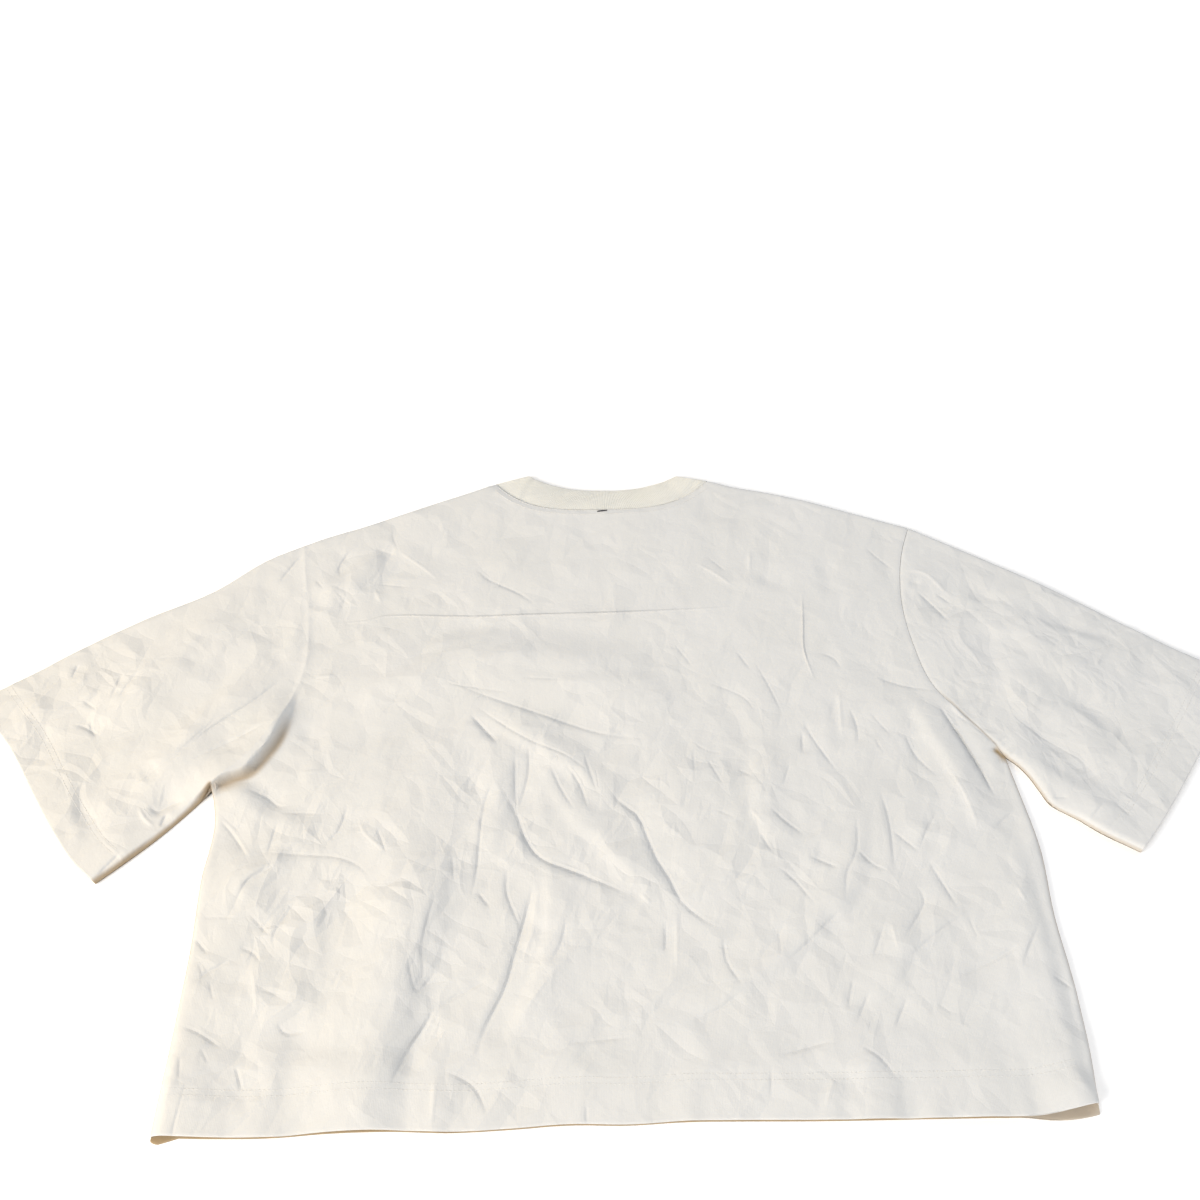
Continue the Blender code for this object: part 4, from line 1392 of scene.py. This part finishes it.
def opened_flat(side, outer, upper_columns):
    """Place of each point on the sleeve opened flat about its upper fold, in metres."""
    fold_from = np.array(CORNERS[f"shoulder_{side}"])
    along = np.array(CORNERS[f"cuff_top_{side}"]) - fold_from
    along = along / np.hypot(*along)
    unfolded = outer[..., :2] - fold_from
    from_fold = np.abs(unfolded @ np.array([-along[1], along[0]]))
    from_fold[:, upper_columns:] *= -1
    return np.dstack([from_fold, unfolded @ along]) * MM


def make_sleeve(side):
    """Both halves joined at the two folds into one tube."""
    top_run = step_lengths(edge(f"sleeve_top_{side}", np.linspace(0, 1, 50))).sum()
    shares = spaced(top_run, SLEEVE_PITCH, *EDGE_CELLS)
    across = spaced(ARMHOLE_RUN, SLEEVE_PITCH, *EDGE_CELLS)
    upper, upper_inner, full = upper_half(side, shares, across)
    lower, lower_inner = lower_half(side, shares, full[:, [0, -1]])
    outer = np.concatenate([upper, lower[:, ::-1]], axis=1)
    inner = np.concatenate([upper_inner, lower_inner[:, ::-1]], axis=1)
    grain = opened_flat(side, outer, len(across))
    return add_tube(f"{side}_sleeve_cloth", outer, inner, jersey, grain)


left_sleeve, right_sleeve = make_sleeve("left"), make_sleeve("right")

# %% [markdown]
# ## The collar
#
# The collar is a strip of rib knit, folded double and sewn into the neck as one ring. Laid
# flat, it turns over at the two neck points: the back half lies on top and the front half
# under the back panel. Rib knit stands up in lines, and here those are in the mesh, four
# columns of points to a rib.

# %% Collar
RIBS = 118
RIB_RISE = 0.22
RIM_RADIUS = 0.85
RIB_ROLL = 3.0  # where the ring turns over at the two neck points
RIB_PUFF = 0.9  # how far the strip stands up between seam and rim
RIB_WIDTH = 27.0  # of the strip, for the UV map
BACK_RIM_RUN, FRONT_RIM_RUN = 180.0, 220.0  # rough lengths of the ring's two halves
RIB_ROWS = (0.0, 0.03, 0.08, 0.2, 0.35, 0.5, 0.65, 0.8, 0.9, 0.95, 0.98, 1.0)
COLLAR_CREASES = (
    # (share along the seam, share along the rim, rise, width in mm) of lines across the rib
    (0.135, 0.03, 0.55, 1.6),
    (0.155, 0.055, -0.5, 2.2),
    (0.30, 0.27, -0.25, 5.0),
    (0.56, 0.57, -0.22, 6.0),
    (0.78, 0.80, 0.3, 8.0),
    (0.86, 0.90, -0.35, 5.0),
)


def collar_half(seam_name, rim_name, shares):
    """Plan grid of half the ring: its rows go from the neck seam to the rim."""
    low = moved(evenly(neckline, seam_name, shares), -SEAM_GAP / 2)
    high = evenly(neckline, rim_name, shares)
    rows = np.array(RIB_ROWS)[:, None, None]
    return (1 - rows) * low + rows * high


def rib_waves(across, shares):
    """Ribs as a cosine along the strip, over a slight puff between seam and rim, and the few
    lines that cross the strip."""
    wave = RIB_RISE * np.cos(2 * np.pi * RIBS * shares) * np.ones_like(across)
    rows = np.array(RIB_ROWS)[:, None]
    puff = RIB_PUFF * np.sqrt(np.sin(np.pi * np.clip(rows, 0.02, 0.98)))
    for at_seam, at_rim, rise, width in COLLAR_CREASES:
        middle = (1 - rows) * at_seam + rows * at_rim
        wave = wave + rise * bump_at((shares - middle) * BACK_RIM_RUN, width)
    return wave + puff


def rim_rounding(plan):
    return rounding(np.linalg.norm(plan - plan[-1:], axis=-1), RIM_RADIUS)


def make_collar():
    """The ring: its back half on top, and its front half below with one column to a rib."""
    shares = np.linspace(0.0, 1.0, 4 * RIBS + 1)
    few = np.linspace(0.0, 1.0, RIBS + 1)
    back_plan = collar_half("back_seam", "back_rim", shares)
    front_plan = collar_half("front_seam", "front_rim", few)
    half = RIB_WALL + GAP / 2
    across = row_walk(back_plan)
    ends = quarter_ellipse(np.minimum(across, across[:, -1:] - across), RIB_ROLL)
    full = half + ends * (half + rib_waves(across, shares[None]))
    round_off = rim_rounding(back_plan)
    inner = np.maximum(full - RIB_WALL, RIB_WALL + LEAST_GAP) + round_off
    upper = half_tube(back_plan, full - round_off, inner, RIB_WALL)
    to_ends = np.minimum(few, 1 - few) * FRONT_RIM_RUN
    fall = half * (1 - quarter_ellipse(to_ends, RIB_ROLL))[None]
    round_off = rim_rounding(front_plan)
    inner = np.maximum(fall, RIB_WALL) - round_off
    lower = half_tube(front_plan, fall + round_off, inner, RIB_WALL)
    outer, inner, around_ring = (
        np.concatenate([above, sign * below[:, -2:0:-1]], axis=1)
        for above, below, sign in zip(upper, lower, (1, 1, -1))
    )
    rows = np.array(RIB_ROWS)[:, None] * RIB_WIDTH * np.ones((1, outer.shape[1]))
    return add_tube("collar_rib", outer, inner, rib, np.dstack([around_ring, rows]) * MM)


collar = make_collar()

# %% [markdown]
# ## Sewing
#
# Hem and cuffs are held by a twin needle, which leaves two lines of short stitches. Below the
# collar two more lines hold the seam flat. A stitch is a few millimetres of thread that stands
# a little out of the cloth in its middle, so each is a small bar of three squares, and a line
# of them is one mesh. A short dark tack sits at the middle of the neck seam.

# %% Stitches
STITCH = 2.9  # from one stitch to the next
STITCH_LENGTH = 2.3
THREAD = 0.24  # half of its width
NECK_THREAD = 1.5 * THREAD
THIN_END = 0.5  # width of a stitch at its ends, as a share of its middle
STITCH_LIFT = 0.16
EDGE_INSET, NECK_INSET = 6.0, 3.0  # bare cloth at both ends of a sewn line
NECK_LINES = (2.2, 7.0)  # distances of the two lines from the neck seam
SQUARE = ((1, 0), (0, 1), (-1, 0), (0, -1))  # corners of a bar's section, to the side and up


def add_stitches(name, starts, ends, lift, half_width, material):
    """Bars from starts to ends, mm, three square sections each: thin at the ends, thick and
    raised by lift in the middle."""
    along = ends - starts
    along /= np.linalg.norm(along, axis=1, keepdims=True)
    side = np.column_stack([-along[:, 1], along[:, 0], np.zeros(len(along))])
    side /= np.linalg.norm(side, axis=1, keepdims=True)
    up = np.cross(along, side)
    middle = (starts + ends) / 2 + np.array([0.0, 0.0, lift])
    rings = []
    for centre, width in ((starts, THIN_END), (middle, 1.0), (ends, THIN_END)):
        rings += [centre + half_width * width * (a * side + b * up) for a, b in SQUARE]
    points = np.stack(rings, 1).reshape(-1, 3)
    bar = [(3, 2, 1, 0), (8, 9, 10, 11)]
    for ring in (0, 4):
        for i, j in ((0, 1), (1, 2), (2, 3), (3, 0)):
            bar.append((ring + i, ring + j, ring + 4 + j, ring + 4 + i))
    faces = (np.array(bar)[None] + 12 * np.arange(len(starts))[:, None, None]).reshape(-1, 4)
    return add_mesh(name, points, faces.tolist(), material)


def on_cloth(plan, above=0.0):
    """Plan points raised to the cloth, or to a little above it."""
    return np.column_stack([plan, upper_surface(plan[None])[0] + above])


def stitch_run(path, inset):
    """Starts and ends of the stitches along a path, in plan, kept inset from both its ends."""
    reached = walk_along(path)
    begin = np.arange(inset, reached[-1] - inset - STITCH_LENGTH, STITCH)
    return [
        np.column_stack([np.interp(at, reached, path[:, i]) for i in (0, 1)])
        for at in (begin, begin + STITCH_LENGTH)
    ]


def sewn_line(name, paths, inset, half_width):
    """One mesh of all the stitches along the paths."""
    runs = [stitch_run(path, inset) for path in paths]
    starts, ends = (np.concatenate([on_cloth(run[i]) for run in runs]) for i in (0, 1))
    return add_stitches(name, starts, ends, STITCH_LIFT, half_width, thread)


def twin_needle(name, edge_name, depth, cloth_side):
    """Two lines at the end of cloth turned in by depth. The cloth is to the right of the edge
    where cloth_side is 1, and to the left where it is -1."""
    run = edge(edge_name, np.linspace(0.0, 1.0, 120))
    paths = [moved(run, cloth_side * (depth - back)) for back in STITCH_LINES]
    return sewn_line(name, paths, EDGE_INSET, THREAD)


hem_stitches = twin_needle("hem_stitches", "hem", HEM_DEPTH, -1)
left_cuff_stitches = twin_needle("left_cuff_stitches", "cuff_left", CUFF_DEPTH, 1)
right_cuff_stitches = twin_needle("right_cuff_stitches", "cuff_right", CUFF_DEPTH, -1)
neck_run = evenly(neckline, "back_seam", np.linspace(0.02, 0.98, 120))
neck_paths = [moved(neck_run, distance) for distance in NECK_LINES]
neck_stitches = sewn_line("neck_stitches", neck_paths, NECK_INSET, NECK_THREAD)

# %% The dark tack
TACK_FROM = np.array([-11.3, 234.9])
TACK_RUN = np.array([8.0, 1.2])  # from its first thread to its last
TACK_THREADS = 9
TACK_UP = np.array([0.35, 1.5])  # from one end of a short thread to the other
TACK_WIDTH = 0.42  # half of a thread's width


def make_tack():
    """Short upright threads side by side, over two long ones that run through them."""
    share = np.linspace(0.0, 1.0, TACK_THREADS)[:, None]
    foot = TACK_FROM + share * TACK_RUN
    through = np.array([TACK_FROM + (0.0, 0.4), TACK_FROM + (0.0, 1.1)])
    starts = np.concatenate([on_cloth(foot, 0.15), on_cloth(through, 0.2)])
    ends = np.concatenate([on_cloth(foot + TACK_UP, 0.15), on_cloth(through + TACK_RUN, 0.2)])
    return add_stitches("neck_tack", starts, ends, 0.25, TACK_WIDTH, dark_thread)


tack = make_tack()

# %% [markdown]
# ## Handing the pieces over
#
# Each piece of cloth stands for its imported solid and moves with the one body. The last lines
# print the dressed shirt's box and keep it beside the imported one.

# %% Frame calls
SHEETS = (
    # (piece, node, slot, flat width and length, flat area, how it is held, what it lies on)
    (front, "front_panel", "jersey", (0.634, 0.553), 0.293, "laid", []),
    (back, "back_panel", "jersey", (0.634, 0.553), 0.303, "laid", ["front_cloth"]),
    (left_sleeve, "sleeve_left", "jersey", (0.500, 0.291), 0.086, "folded", []),
    (right_sleeve, "sleeve_right", "jersey", (0.490, 0.291), 0.086, "folded", []),
    (collar, "neck_rib", "rib", (0.495, 0.028), 0.0125, "folded", []),
)
for piece, cad_node, slot, flat, area, held, under in SHEETS:
    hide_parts(cad_node)
    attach(piece, "root")
for piece in (hem_stitches, left_cuff_stitches, right_cuff_stitches, neck_stitches, tack):
    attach(piece, "root")
print(len(SHEETS), "sheets and 5 sewn pieces ride on the one body")

# %% Size of the dressed shirt
dressed_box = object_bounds()
print("dressed shirt, corners in metres:", dressed_box)
boxes = {"cad": cad_box, "visual": dressed_box}
boxes = {name: [[float(x) for x in corner] for corner in box] for name, box in boxes.items()}
